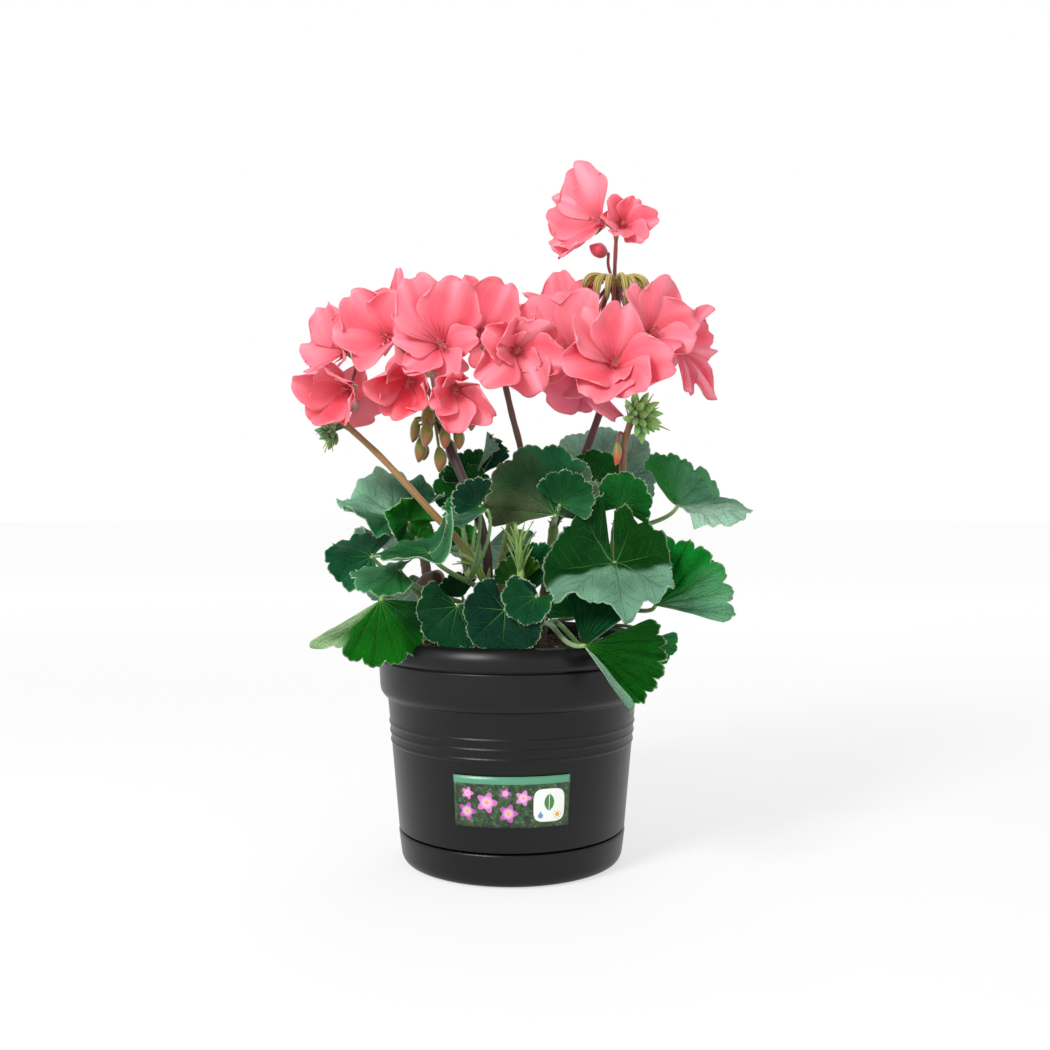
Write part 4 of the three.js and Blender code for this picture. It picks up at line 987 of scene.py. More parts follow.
# scales: small pointed leaves in a ring where a shoot parts; number, length, how far they open,
# half width, distance from the middle, foot and tip colour
scaleLook = {
    "bract": (7, 6.5, 0.55, 1.3, 2.6, "8c8a45", "a89a58"),
    "tuft": (7, 15, 0.5, 1.6, 1.6, "4a8420", "98bc5c"),
    "joint": (6, 9, 0.6, 1.6, 3.0, "6f9a38", "a9c46a"),
    "cluster": (8, 9.5, 1.3, 1.7, 1.6, "6f8a24", "b8b84a"),
    "stipule": (2, 4.5, 0.6, 1.4, 1.0, "7a9a4a", "b0b878"),
}


def scales(shape, hub, head, look, seed=0, cover=0):
    count, length, opened, wide, apart, low, high = scaleLook[look]
    side = head.cross(Vector((0.3, 0.9, 0.2))).normalized()
    other = head.cross(side)
    for k in range(count):
        out = around(side, other, k * math.tau / count + seed + 0.5 * chance(seed + k))
        across = head.cross(out)
        long = length * mix(0.75, 1.2, chance(seed * 7 + k + 90))
        lean = opened * mix(0.6, 1.4, chance(seed * 3 + k + 40))

        def spot(u, v):
            half = wide * (1 - v) ** 0.7 * (0.75 + 0.5 * v)
            lift = out * (apart + long * lean * v ** 1.6) + head * (long * (v - 0.2))
            return hub + lift + across * (half * (2 * u - 1)) - out * (0.4 * wide * (2 * u - 1) ** 2)

        shape.blade(4, 7, spot, lambda u, v: shade(low, high, v), 0.25, (cover,) * 3)


# florets: petals, then calyx, stamens and pistil

petals = {
    "length": 36, "width": 31, "across": 20, "along": 18, "thickness": 0.35,
    "body": "fa667a", "pale": "ffb0c0", "foldShade": "e63a50", "blush": "e01a30", "dusk": "e0649a",
    "throat": 28, "cup": 0.1, "curl": -0.03, "tilt": 0.3, "mark": 0.25, "wave": 0.05,
    "fold": 0.038, "ruffle": 0.036, "roll": 0.14, "bend": 0.3, "notch": 0.05, "corner": 0.3, "groove": 0.035,
    "apart": 2.2, "sunk": 3, "widest": 0.66, "footShare": 0.08, "tipShare": 0.81,
}


def petalHalfWidth(t):  # as a share of the widest place
    widest = petals["widest"]
    if t < widest:
        return mix(petals["footShare"], 1, math.sin(0.5 * math.pi * t / widest) ** 1.7)
    return mix(1, petals["tipShare"], ((t - widest) / (1 - widest)) ** 2)


def petalFold(p, t, s):  # waves across a petal, in parts of its width
    slow = math.sin(4.4 * s + p["phase"] * 1.7)
    quick = math.sin(8.5 * s + p["phase"] * 2) * 0.6 + math.sin(14 * s + p["phase"]) * 0.3
    return p["fold"] * slow * t ** 1.2 + p["ruffle"] * quick * t ** 3.5


# a petal runs on a quadratic curve from its throat angle to its open angle; t goes from foot to
# tip and s from side to side, and the place is counted forward, outward and across
def petalSpot(p, t, s):
    a0, a1 = math.radians(p["throat"]), math.radians(p["open"])
    length, width, k = p["length"], p["width"], petals["bend"]
    notch = petals["notch"] * math.exp(-(s / 0.16) ** 2) * p["notch"]
    corner = petals["corner"] * abs(s) ** 3.2
    u = t * (1 - (corner + notch) * t ** 2)
    b1 = (length * k * math.cos(a0), length * k * math.sin(a0))
    b2 = (b1[0] + length * (1 - k) * math.cos(a1), b1[1] + length * (1 - k) * math.sin(a1))
    forward, outward = [2 * u * (1 - u) * mid + u * u * end for mid, end in zip(b1, b2)]
    df, dr = [2 * (1 - u) * mid + 2 * u * (end - mid) for mid, end in zip(b1, b2)]
    size = math.hypot(df, dr)
    half = width / 2 * petalHalfWidth(t)
    lift = p["cup"] * width * s * s * t + p["curl"] * length * u ** 3
    lift += petals["wave"] * width * u * u * math.sin(3.3 * s + p["phase"]) + p["tilt"] * s * half
    lift += width * petalFold(p, t, s)
    lift += p["roll"] * half * ease(0.6, 1, abs(s)) * abs(s) * t
    lift -= petals["groove"] * width * math.exp(-(s / 0.2) ** 2) * t
    return forward + lift * dr / size, petals["apart"] + outward - lift * df / size, s * half


def petalsOf(seed, size, opened, rows, more):
    own = {**petals, "crimp": 1, **more}
    found = []
    for k, (turn, long, wide, lean) in enumerate(rows):
        n = seed * 17 + k * 3
        found.append({
            "turn": turn + (chance(n) - 0.5) * 8,
            "length": petals["length"] * size * long * mix(0.95, 1.05, chance(n + 1)),
            "width": petals["width"] * size * wide * mix(0.92, 1.06, chance(n + 2)) * min(long + 0.1, 1),
            "open": opened + lean + (chance(n + 3) - 0.5) * 5,
            "throat": own["throat"], "tilt": own["tilt"],
            "cup": own["cup"] + (chance(n + 4) - 0.5) * 0.06,
            "curl": own["curl"] + (chance(n + 5) - 0.5) * 0.2,
            "phase": chance(n + 6) * 6.28,
            "fold": petals["fold"] * own["crimp"] * mix(0.7, 1.3, chance(n + 9)),
            "ruffle": petals["ruffle"] * own["crimp"] * mix(0.6, 1.4, chance(n + 10)),
            "roll": petals["roll"] * (chance(n + 11) - 0.3),
            "notch": 1 if chance(n + 7) > 0.45 else 0.2,
            "mark": own["mark"] * (1 if abs(turn) < 60 else 0.25),
            "tone": chance(n + 8),
        })
    return found


def addPetals(shape, seed, at, face, size, opened, rows, more):
    a, up, side = floretFrame(face)
    eye = Vector(at)
    blush, dusk = more.get("blush", 0), more.get("dusk", 0)
    for p in petalsOf(seed, size, opened, rows, more):
        out = around(up, side, math.radians(p["turn"]))
        over = a.cross(out)
        body = shade(petals["body"], petals["pale"], p["tone"] * 0.6)
        body = mixInk(body, ink(petals["blush"]), blush * 0.8)
        body = mixInk(body, ink(petals["dusk"]), dusk * 0.7)
        # painted shade for the valleys of a petal's folds, and a painted highlight for their ridges
        deep = mixInk(body, ink(petals["foldShade"]), 0.75)
        light = mixInk(body, ink(petals["pale"]), 0.9 - 0.5 * blush)

        # where a fold rises the petal takes the painted highlight, and where it sinks the painted shade
        def tint(u, v):
            fold = petalFold(p, v, 1 - 2 * u) / (petals["fold"] + petals["ruffle"])
            other = light if fold > 0 else deep
            return (*mixInk(body, other, min(abs(fold), 1))[:3], p["mark"])

        def spot(u, v):
            forward, outward, across = petalSpot(p, v, 1 - 2 * u)
            return eye + a * (forward - petals["sunk"]) + out * outward + over * across

        shape.blade(petals["across"], petals["along"], spot, tint, petals["thickness"], (0, 1, 0))


def makeFloret(node):
    shape = Shape(["petal", "petalBack"])
    for seed, (name, stalk, *form) in enumerate(florets, 1):
        if name == node or form[-1].get("on") == node:
            addPetals(shape, seed, *form)
    shape.finish(node + "_petals", "petal", [node])


# the outline's rows are depth and radius of the receptacle
heart = {
    "sepals": 5, "sepal": 8.5, "stamens": 7, "filament": 6.5, "stigmas": 5,
    "outline": ((-5.4, 0.9), (-4.8, 1.5), (-3.9, 2.1), (-3.2, 2.9), (-2.2, 4.3), (-2.3, 4.0), (-3.1, 2.2),
                (-3.3, 0.6)),
    "green": "7d8a3a", "throat": "c8283f", "sepalLow": "93913f", "sepalHigh": "a8605a",
    "thread": "f4a0a4", "anther": "c45a34", "style": "d64a5c", "stigma": "b0203c",
}


def addHeart(shape, seed, at, face, size):
    a, up, side = floretFrame(face)
    eye = Vector(at)

    def throat(u, v):
        deep, r = heart["outline"][round(v * 7)]
        return eye + a * deep + up * (r * math.cos(u * math.tau)) + side * (r * math.sin(u * math.tau))

    shape.closed(12, 7, throat, lambda u, v: shade(heart["green"], heart["throat"], ease(0.3, 0.45, v)))
    for k in range(heart["sepals"]):
        out = around(up, side, k * math.tau / heart["sepals"] + chance(seed + k))
        across = a.cross(out)
        long = heart["sepal"] * mix(0.85, 1.15, chance(seed * 3 + k))

        def spot(u, v):
            half = 1.5 * math.sin(math.pi * min(v * 0.8 + 0.2, 1)) ** 0.8 * (1 - v * 0.4)
            along = a * (-4.0 + long * 0.55 * v) + out * (1.6 + long * 0.75 * v)
            return eye + along + across * (half * (2 * u - 1))

        shape.blade(4, 7, spot, lambda u, v: shade(heart["sepalLow"], heart["sepalHigh"], v), 0.3, (0, 0, 0))
    draw = random.Random(seed * 101)
    for k in range(heart["stamens"]):
        turn = k * math.tau / heart["stamens"] + draw.uniform(-0.3, 0.3)
        lean = draw.uniform(0.1, 0.32)
        way = (a + around(up, side, turn) * lean).normalized()
        long = heart["filament"] * size * draw.uniform(0.75, 1.15)
        base = eye - a * 2.6
        tip = base + way * long + up * draw.uniform(0, 1.2)
        shape.tube([base, base + way * long * 0.5, tip], [0.28, 0.24, 0.18], 5, ink(heart["thread"]))
        shape.tube([tip + side * d for d in (-0.7, -0.3, 0.3, 0.7)], [0.12, 0.36, 0.36, 0.12], 6,
                   ink(heart["anther"]))
    top = eye + a * (heart["filament"] * size * 0.95)
    shape.tube([eye - a * 2.8, eye + a * 2, top], [0.5, 0.4, 0.35], 6, ink(heart["style"]))
    for k in range(heart["stigmas"]):
        out = around(up, side, k * math.tau / heart["stigmas"])
        shape.tube([top, top + a * 0.8 + out * 0.9, top + a * 0.9 + out * 1.9], [0.3, 0.26, 0.12], 5,
                   ink(heart["stigma"]))


def makeHearts():
    shape = Shape(["bud"])
    for seed, (name, stalk, at, face, size, *rest) in enumerate(florets, 1):
        addHeart(shape, seed, at, face, size)
    shape.finish("floret_hearts", "spent_green")


# buds: pointed, ribbed, green at the foot and redder where they open

budForm = {"steps": 12, "sides": 10, "bend": 0.06, "taper": 0.35, "ribs": 5, "rib": 0.16}


def addBud(shape, root, heading, foot, long, wide, low, high, sides=budForm["sides"], taper=budForm["taper"]):
    head = heading.normalized()
    bend = head.cross(Vector((0.2, 1, 0.1))).normalized()
    points, radii = [], []
    for k in range(budForm["steps"] + 1):
        t = k / budForm["steps"]
        swing = budForm["bend"] * long * math.sin(math.pi * t)
        points.append(root + head * (foot + long * t) + bend * swing)
        radii.append(max(0.12, wide * math.sin(math.pi * min(t * 0.93 + 0.05, 1)) ** 0.75 * (1 - taper * t)))
    shape.tube(points, radii, sides, lambda u, v: mixInk(low, high, ease(0.2, 0.9, v)),
               lobes=budForm["ribs"], depth=budForm["rib"])
    if foot > 0.5:
        shape.tube([root, root + head * foot * 0.5, root + head * (foot + 0.8)], [0.6, 0.55, 0.9], 7, low)


clusters = {
    "buds_left": {
        "stalk": "flower_stalk_left", "share": 0.97, "root": (-98, -15, 239.5),
        "heading": (-0.9, -0.35, -0.4), "spread": 1.4, "count": 17, "seed": 1,
        "foot": 4, "long": 8, "wide": 2.6, "drop": 0, "low": "2f6a2c", "high": "6f9a5c", "other": "3f5a24"},
    "buds_far_right": {
        "stalk": "flower_stalk_far_right", "share": 0.9, "root": (70, -9, 246),
        "heading": (0.45, -0.45, 0.1), "spread": 1.6, "count": 28, "seed": 2,
        "foot": 4.5, "long": 10.5, "wide": 2.8, "drop": 0,
        "low": "2f8a20", "high": "96d276", "other": "8fae34"},
    "buds_drooping": {
        "stalk": "flower_stalk_centre_left", "share": 0.97, "root": (-43, -12, 246),
        "heading": (0.2, -0.6, -0.6), "spread": 1.7, "count": 14, "seed": 3,
        "foot": 18, "long": 13.5, "wide": 3.9, "drop": 0.88,
        "low": "7f8a2c", "high": "b8503a", "other": "6f7a30"},
}


def makeCluster(name):
    c = clusters[name]
    root, main = Vector(c["root"]), Vector(c["heading"]).normalized()
    shape = Shape(["bud"])
    foot = smoothLine(stalks[c["stalk"]][0], c["share"])
    shape.tube([foot, root, root + main * 3], [1.6, 2.0, 1.2], 10, ink(c["low"]))
    scales(shape, root, main, "cluster", c["seed"])
    side = main.cross(Vector((0.3, 0.9, 0.2))).normalized()
    other = main.cross(side)
    for k in range(c["count"]):
        n = c["seed"] * 31 + k * 5
        lean = c["spread"] * ((k + 0.5) / c["count"]) ** 0.5
        way = around(main, around(side, other, k * math.tau * 0.618), lean)
        size = mix(0.7, 1.1, chance(n))
        low = mixInk(ink(c["low"]), ink(c["other"]), chance(n + 2) * 0.8)
        high = mixInk(ink(c["high"]), ink(c["other"]), chance(n + 3) * 0.5)
        foot = c["foot"] * mix(0.6, 1.2, chance(n + 1))
        if c["drop"]:  # the bud hangs from the end of its own stalklet
            end = root + way * foot
            route = arc(root, root + way * foot * 0.5, end + Vector((0, 0, 1.5)), end, 6)
            shape.tube(route, [0.8] * 7, 7, low)
            hang = way.lerp(Vector((0, 0, -1)), c["drop"])
            addBud(shape, end, hang, 0, c["long"] * size, c["wide"] * size, low, high, taper=0.12)
        else:
            addBud(shape, root, way, foot, c["long"] * size, c["wide"] * size, low, high)
    shape.finish(name + "_sepals", "green_bud", [name])


def makeLoneBud(name):
    b = loneBuds[name]
    shape = Shape(["bud"])
    addBud(shape, Vector(b["root"]), Vector(b["heading"]), b["foot"], b["long"], b["wide"], ink(b["low"]),
           ink(b["high"]), b["sides"])
    shape.finish(name + "_petals", "red_bud", b["nodes"])


# spent flowers: grooved arcs that hang from a knob at the top of the stalk

spent = {
    "stalk": "flower_stalk_right", "hooks": 16, "near": 15, "far": 21, "thick": 1.25, "swell": 0.6,
    "steps": 16, "sides": 20, "ribs": 5, "rib": 0.34,
    "knob": ((-2, 3.4), (0, 4.3), (2, 4.0), (3.4, 2.4)),
    "low": "d2be5c", "high": "8a7a34", "groove": "4f4214", "knobTint": "8f8238",
}


def makeSpent():
    hub = stalkEnd(spent["stalk"])
    steps = spent["steps"]
    shape = Shape(["bud"])
    shape.tube([hub + Vector((0, 0, z)) for z, r in spent["knob"]], [r for z, r in spent["knob"]], 12,
               ink(spent["knobTint"]))
    radii = [spent["thick"] + spent["swell"] * math.sin(math.pi * ease(0.35, 1.05, t / steps))
             for t in range(steps)] + [0.35]

    # darker in the grooves between the ribs: the spent flowers' own stripes together with painted shade in
    # the grooves
    def tint(u, v):
        groove = 0.5 + 0.5 * math.cos(u * math.tau * spent["ribs"])
        return mixInk(shade(spent["low"], spent["high"], ease(0.6, 1, v)), ink(spent["groove"]), groove * 0.7)

    for k in range(spent["hooks"]):
        turn = k * math.tau / spent["hooks"] + 0.5 * chance(k + 20)
        out = Vector((math.cos(turn), math.sin(turn), 0))
        ahead = ease(0.2, 0.9, -out.y)
        reach = mix(spent["near"], spent["far"], chance(k + 7)) * mix(1, 0.72, ahead)
        start = hub + Vector((0, 0, 1.5)) + out * 1.5
        high = start + out * reach * 0.5 + Vector((0, 0, mix(4, 7, chance(k))))
        far = start + out * reach + Vector((0, 0, 3))
        tip = start + out * reach * 0.95 - Vector((0, 0, mix(2, 9, chance(k + 3)) + 9 * ahead))
        shape.tube(arc(start, high, far, tip, steps), radii, spent["sides"], tint,
                   lobes=spent["ribs"], depth=spent["rib"])
    shape.finish("spent_flowers_hooks", "spent_green", ["spent_flowers"])


# leaves: node, stem, share of its height, meeting point, tip, face, size, form
# in a form span is the blade's half angle in degrees; left, right, tip and back bend a side up; reach
# stretches it forward and backward; tail draws one side out; hem folds one edge back; tones are
# the right, middle and left colours, which split places, and hold painted light and shade: paler where
# a part faces the light, darker where it lies in shade; paintedSheenSpan gives the shares towards the
# tip where the fold's colour, a painted sheen, is laid on

flatForm = {
    "span": 158, "cup": 0.02, "wave": 0.08, "waves": 2.6, "skew": 0, "left": 8, "right": 8, "tip": -12,
    "back": 14, "roll": 0, "crimp": 1, "hem": (0, 0), "paintedSheenSpan": (2, 3), "split": (0.12, 0.45, 0.55, 0.88),
    "reach": (1, 1), "tail": (0, 60, 0), "tones": ("1f7030", "1f7030", "2a7d3c"), "fold": "86bf9c",
}

leaves = [
    ("leaf_front_left", "stem_left", 0.15, (-67, -58, 149), (0.26, -0.3, -0.93), (-0.1, -0.93, 0.3), 34.5,
     {"span": 77, "skew": -0.1, "wave": 0.08, "left": -34, "right": -8, "tip": -14, "tail": (-1, 60, 0.42),
      "split": (0.15, 0.42, 0.86, 0.95), "tones": ("b0d49c", "0c760c", "084f18")}),
    ("leaf_left_low", "stem_centre", 0.56, (-60, -33, 162.5), (-0.97, -0.1, 0.03), (-0.05, -0.3, 0.95), 27,
     {"span": 112, "left": -10, "right": -8, "wave": 0.07, "tones": ("4f9a68", "4a9460", "2a7d3c")}),
    ("leaf_left_dark", "stem_left", 0.5, (-79, 0, 168), (-0.93, -0.1, 0.15), (-0.25, -0.72, 0.62), 27,
     {"span": 120, "crimp": 2, "left": -2, "right": -20, "wave": 0.09,
      "tones": ("0f5a38", "0f5a38", "2a7d50")}),
    ("leaf_left_folded", "stem_centre", 0.8, (-44, -36, 172), (-0.95, -0.2, 0.05), (0, -0.4, 0.92), 31,
     {"span": 166, "skew": 0.16, "back": 76, "tip": -4, "left": 16, "right": -16, "reach": (1, 1.35),
      "tones": ("3c8a5a", "2a7d40", "4f9a68")}),
    ("leaf_left_high", "stem_left", 0.92, (-66, 0, 191.5), (-0.7, 0.5, 0.45), (-0.1, -0.6, 0.79), 36,
     {"span": 132, "wave": 0.13, "waves": 3.4, "left": 28, "right": 2, "tip": -2, "crimp": 2.6, "skew": -0.04,
      "tones": ("2a7850", "9ad8b6", "268a4c")}),
    ("leaf_left_young", "stem_left", 0.8, (-57, -12, 188), (-0.2, -0.5, 0.8), (0.1, -0.8, 0.55), 16,
     {"on": "leaf_left_high", "span": 140, "wave": 0.22, "crimp": 3, "waves": 4, "cup": 0.12,
      "tones": ("2f9a2c", "1f8a24", "146a2a")}),
    ("leaf_centre", "stem_mid", 0.93, (24, -20, 192), (0.02, -0.1, 0.97), (-0.12, -0.94, 0.25), 39,
     {"span": 103, "skew": 0.27, "tip": -16, "left": -14, "right": -16,
      "tones": ("6a8568", "1f6b40", "5a6b48")}),
    ("leaf_centre_near", "stem_mid", 0.85, (26, -28, 197.5), (0.5, -0.1, 0.85), (-0.1, -0.9, 0.42), 20.5,
     {"on": "leaf_centre", "span": 88, "left": -10, "right": -12, "tones": ("2f7a4a", "0f5a2c", "0f5a2c")}),
    ("leaf_behind_right", "stem_back", 0.85, (54, 42, 210), (0.02, 0.25, 0.95), (-0.05, -0.92, 0.3), 39,
     {"span": 135, "tones": ("b0ecd4", "a8e8cc", "a4e0c8")}),
    ("leaf_right_small_dark", "stem_mid", 0.97, (47, -3, 211), (-0.1, -0.1, 0.97), (0, -0.97, 0.05), 18,
     {"span": 120, "tones": ("0b5a1a", "0b5a1a", "0f6420")}),
    ("leaf_right_small", "stem_right", 0.93, (60, -15, 196), (0.15, -0.25, 0.95), (0, -0.88, 0.42), 20,
     {"span": 112, "tones": ("0f6a22", "14702a", "0f6a22")}),
    ("leaf_right_high", "stem_right", 0.85, (94, 4, 197), (0.87, 0.5, 0.17), (0, -0.25, 0.97), 43.5,
     {"span": 112, "tip": -4, "back": 4, "left": 62, "right": 8, "wave": 0.05, "roll": 0.16,
      "tones": ("bcecd0", "7ccc9a", "2f9440")}),
    ("leaf_right_folded", "stem_right", 0.62, (55, -39, 167), (0.1, -0.95, -0.05), (0, -0.2, 0.97), 41,
     {"span": 174, "skew": -0.12, "back": 66, "tip": -44, "left": -2, "right": -8, "wave": 0.09,
      "reach": (0.86, 1.2), "crimp": 3.2, "paintedSheenSpan": (0.08, 0.2), "fold": "84bc9c",
      "tones": ("064c14", "054616", "08520f")}),
    ("leaf_right_low", "stem_right", 0.35, (78, -26, 143), (0.67, 0.1, 0.74), (-0.15, -0.8, 0.55), 44,
     {"span": 61, "left": -6, "right": -12, "crimp": 1.5, "tones": ("78bc90", "0c9c30", "0a8a2c")}),
    ("leaf_over_rim", "stem_mid", 0.16, (37, -80, 128), (0.97, -0.1, -0.28), (0.12, -0.9, 0.4), 43,
     {"span": 44, "rise": 0.25, "skew": 0.08, "hem": (-1, 7), "crimp": 1.3, "left": -10, "right": -18,
      "tones": ("066c0c", "056406", "055c0a")}),
    ("leaf_front_dark", "stem_mid", 0.34, (38, -50, 123.5), (0.3, 0.12, 0.95), (-0.3, -0.95, 0.1), 36,
     {"span": 38, "on": "leaf_over_rim", "tones": ("12683a", "0f6034", "12683a")}),
    ("leaf_under_right", "stem_right", 0.2, (73, -46, 127), (0.15, 0, -1), (0.2, -0.95, 0.15), 17,
     {"span": 100, "tones": ("1c7a30", "1c7a30", "2a8040")}),
    ("leaf_front_centre_left", "stem_centre", 0.28, (-28, -52, 145), (-0.2, -0.3, -0.9), (0, -0.92, 0.4), 24,
     {"span": 125, "tones": ("0a4a28", "0c502c", "0a4a28")}),
    ("leaf_front_centre", "stem_centre", 0.42, (-3, -60, 144), (-0.05, -0.3, -0.92), (0, -0.92, 0.38), 25,
     {"tones": ("0a4030", "0c4632", "0a4030")}),
    ("leaf_front_small", "stem_mid", 0.3, (13, -64, 151), (-0.4, -0.3, -0.87), (0, -0.85, 0.5), 15.5,
     {"on": "leaf_front_centre", "span": 118, "skew": -0.3, "tones": ("0e5a34", "0e5a34", "12682a")}),
    ("leaf_mid_upright", "stem_mid", 0.35, (11, -12, 150), (0.12, 0, 1), (-0.5, -0.85, 0.2), 28,
     {"on": "leaf_front_centre", "span": 50, "tones": ("0f6a3a", "0f6a3a", "12703a")}),
    ("leaf_mid_back", "stem_centre", 0.9, (-28, 14, 203), (-0.1, 0.1, 1), (-0.05, -0.95, 0.3), 20,
     {"on": "leaf_left_folded", "span": 118, "wave": 0.12, "tones": ("1c7a2a", "14702a", "1c7a2a")}),
    ("leaf_mid_dark", "stem_centre", 0.97, (-17, -31, 197), (-0.62, -0.1, 0.7), (0.1, -0.9, 0.4), 16.5,
     {"on": "leaf_left_folded", "span": 70, "tones": ("0b3f2a", "0b3f2a", "0f503e")}),
    ("leaf_mid_pale", "stem_centre", 0.95, (-13, -34, 195), (-1, 0, 0.12), (0.05, -0.62, 0.78), 25,
     {"on": "leaf_left_folded", "span": 56, "crimp": 1.4, "tones": ("2a7a44", "2a7a44", "5f9c7c")}),
    ("leaf_mid_folded", "stem_centre", 0.85, (-21, 20, 212), (0.5, 0, 0.87), (0.75, -0.6, -0.3), 28,
     {"on": "leaf_left_folded", "span": 34, "left": 60, "right": 60, "crimp": 2.4,
      "tones": ("2a6a50", "2a6a50", "2a6a50")}),
    ("leaf_back_left", "stem_left", 0.8, (-62, 46, 176), (-0.6, 0.75, 0.1), (-0.2, 0.3, 0.92), 36, {}),
    ("leaf_back", "stem_back", 0.6, (-18, 74, 171), (-0.1, 0.95, -0.25), (0, 0.35, 0.92), 37,
     {"on": "leaf_back_left"}),
    ("leaf_back_right", "stem_back", 0.4, (42, 70, 158), (0.5, 0.8, -0.2), (0.1, 0.45, 0.88), 38, {}),
    ("leaf_far_right_back", "stem_right", 0.5, (87, 32, 163), (0.8, 0.55, 0), (0.1, 0.1, 0.98), 34, {}),
    ("leaf_far_left_back", "stem_left", 0.3, (-58, 40, 146), (-0.6, 0.78, -0.2), (-0.2, 0.3, 0.9), 32, {}),
    ("leaf_left_tiny", "stem_left", 0.8, (-54, -2, 179), (-0.3, 0, 0.95), (0.1, -0.85, 0.5), 13,
     {"on": "leaf_left_high", "span": 125, "wave": 0.2, "crimp": 3, "cup": 0.14,
      "tones": ("2f9a2c", "1f8a24", "146a2a")}),
    ("leaf_mid_tiny", "stem_centre", 0.9, (-29, 6, 176), (0.1, 0, 1), (0.2, -0.85, 0.5), 12,
     {"on": "leaf_left_folded", "span": 120, "wave": 0.2, "crimp": 3,
      "tones": ("2f9a2c", "1f8a24", "146a2a")}),
    ("leaf_mid_behind", "stem_centre", 0.9, (-21, 18, 210), (-0.5, 0, 0.86), (0.1, -0.95, 0.2), 21,
     {"on": "leaf_left_folded", "span": 62, "crimp": 2, "tones": ("1c7a2a", "0f5a24", "0d4a1c")}),
    ("leaf_low_right", "stem_mid", 0.3, (34, -28, 137), (-0.5, 0, 0.86), (0.1, -0.95, 0.2), 18,
     {"on": "leaf_over_rim", "span": 62, "tones": ("12602a", "0f5a24", "12602a")}),
    ("leaf_low_left", "stem_centre", 0.3, (-27, -18, 147), (-0.45, 0.1, 0.88), (0.1, -0.9, 0.35), 15,
     {"on": "leaf_front_centre_left", "span": 64, "tones": ("0c4a28", "0c5028", "0c4a28")}),
    ("leaf_mid_low", "stem_centre", 0.6, (5, -18, 154), (-0.35, 0, 0.94), (0.15, -0.9, 0.3), 17,
     {"on": "leaf_front_centre", "span": 70, "crimp": 2, "tones": ("4f8a24", "3f7a24", "2a6a24")}),
]

blade = {
    "thickness": 0.5, "lobes": 7, "lobe": 0.09, "tooth": 5.4, "toothDepth": 0.026, "perTooth": 5, "most": 240,
    "rows": 20, "quilt": 0.026, "ruffle": 0.045, "pucker": 0.05, "hem": 0.06, "deep": 0.58,
}
petioleForm = {"thick": 1.35, "small": 0.75, "steps": 20, "sides": 10, "low": "41702f", "high": "7ea35a"}


def leafReach(angle, span, teeth):
    lobe = (angle + span) / (2 * span) * blade["lobes"]
    notch = 1 - blade["lobe"] * abs(2 * (lobe % 1) - 1) ** 2.5
    cut = (lobe + 0.05 * math.sin(lobe * 2.3 + span)) * teeth
    scallop = 1 - blade["toothDepth"] * abs(2 * (cut % 1) - 1) ** 2.2
    return (0.86 + 0.14 * math.cos(math.radians(angle))) * notch * scallop


def turnAt(share):  # how much of its bend a side has taken at this share of its reach
    return min(1.3 * share / (share + 0.3), 1.1)


def leafSpot(f, size, teeth, angle, share):
    over = max(0, f["hem"][0] * angle - f["span"] + f["hem"][1])  # how far a side edge is folded back
    angle -= f["hem"][0] * over * 1.8
    reach = leafReach(angle, f["span"], teeth) * size * share
    reach *= 1 + f["skew"] * math.sin(math.radians(angle))
    reach *= 1 + f["tail"][2] * ease(f["tail"][1], f["span"], f["tail"][0] * angle)
    x = reach * math.cos(math.radians(angle))
    x *= f["reach"][0 if x > 0 else 1]
    y = reach * math.sin(math.radians(angle))
    z = size * f["cup"] * share ** 2
    z += size * f["wave"] * share ** 1.6 * math.sin(math.radians(angle * f["waves"] + f["phase"]))
    lobe = (angle + f["span"]) / (2 * f["span"]) * blade["lobes"]
    inLobe = abs(lobe % 1 - 0.5)
    z += size * blade["quilt"] * (min(inLobe * share / 0.12, 1) - 0.6) * ease(0, 0.3, share)
    z += size * blade["hem"] * min(over / 3, 1) * ease(0, 0.3, share)
    wave = 0.6 * share ** 5 * math.sin(lobe * 4.4 + f["phase"])
    wave += 0.5 * share ** 8 * math.sin(lobe * 11 + f["phase"] * 2)
    z += size * blade["ruffle"] * f["crimp"] * wave
    z += size * blade["pucker"] * noise.noise(Vector((x * 0.11, y * 0.11, f["phase"]))) * ease(0, 0.4, share)
    z -= size * f["roll"] * ease(0.62, 1, share) ** 1.5
    sideTurn = math.radians(f["left"] if y > 0 else f["right"]) * turnAt(abs(y) / size)
    longTurn = math.radians(f["tip"] if x > 0 else f["back"]) * turnAt(abs(x) / size)
    z += abs(y) * math.sin(sideTurn) + abs(x) * math.sin(longTurn)
    return x * math.cos(longTurn), y * math.cos(sideTurn), z


def leafFrame(at, tip, face):
    t, n = Vector(tip).normalized(), Vector(face)
    return Vector(at), t, (n - t * n.dot(t)).normalized()


def petiole(leaf, steps=petioleForm["steps"]):
    name, stem, share, at, tip, face, size, form = leaf
    at, t, n = leafFrame(at, tip, face)
    start = onStem(stem, share)
    if "on" in form:
        start = petiole(next(row for row in leaves if row[0] == form["on"]), 3)[1]
    reach = (at - start).length
    arrive = (t * 0.5 + n * 0.85).normalized()
    out = (at - start) * Vector((1, 1, 0))
    first = start + out.normalized() * reach * 0.25 + Vector((0, 0, reach * form.get("rise", 0.2)))
    return arc(start, first, at - arrive * reach * 0.3, at + n * 0.25, steps)


def leafTeeth(f, size):
    return max(3, round(math.radians(2 * f["span"]) * size / blade["lobes"] / blade["tooth"]))


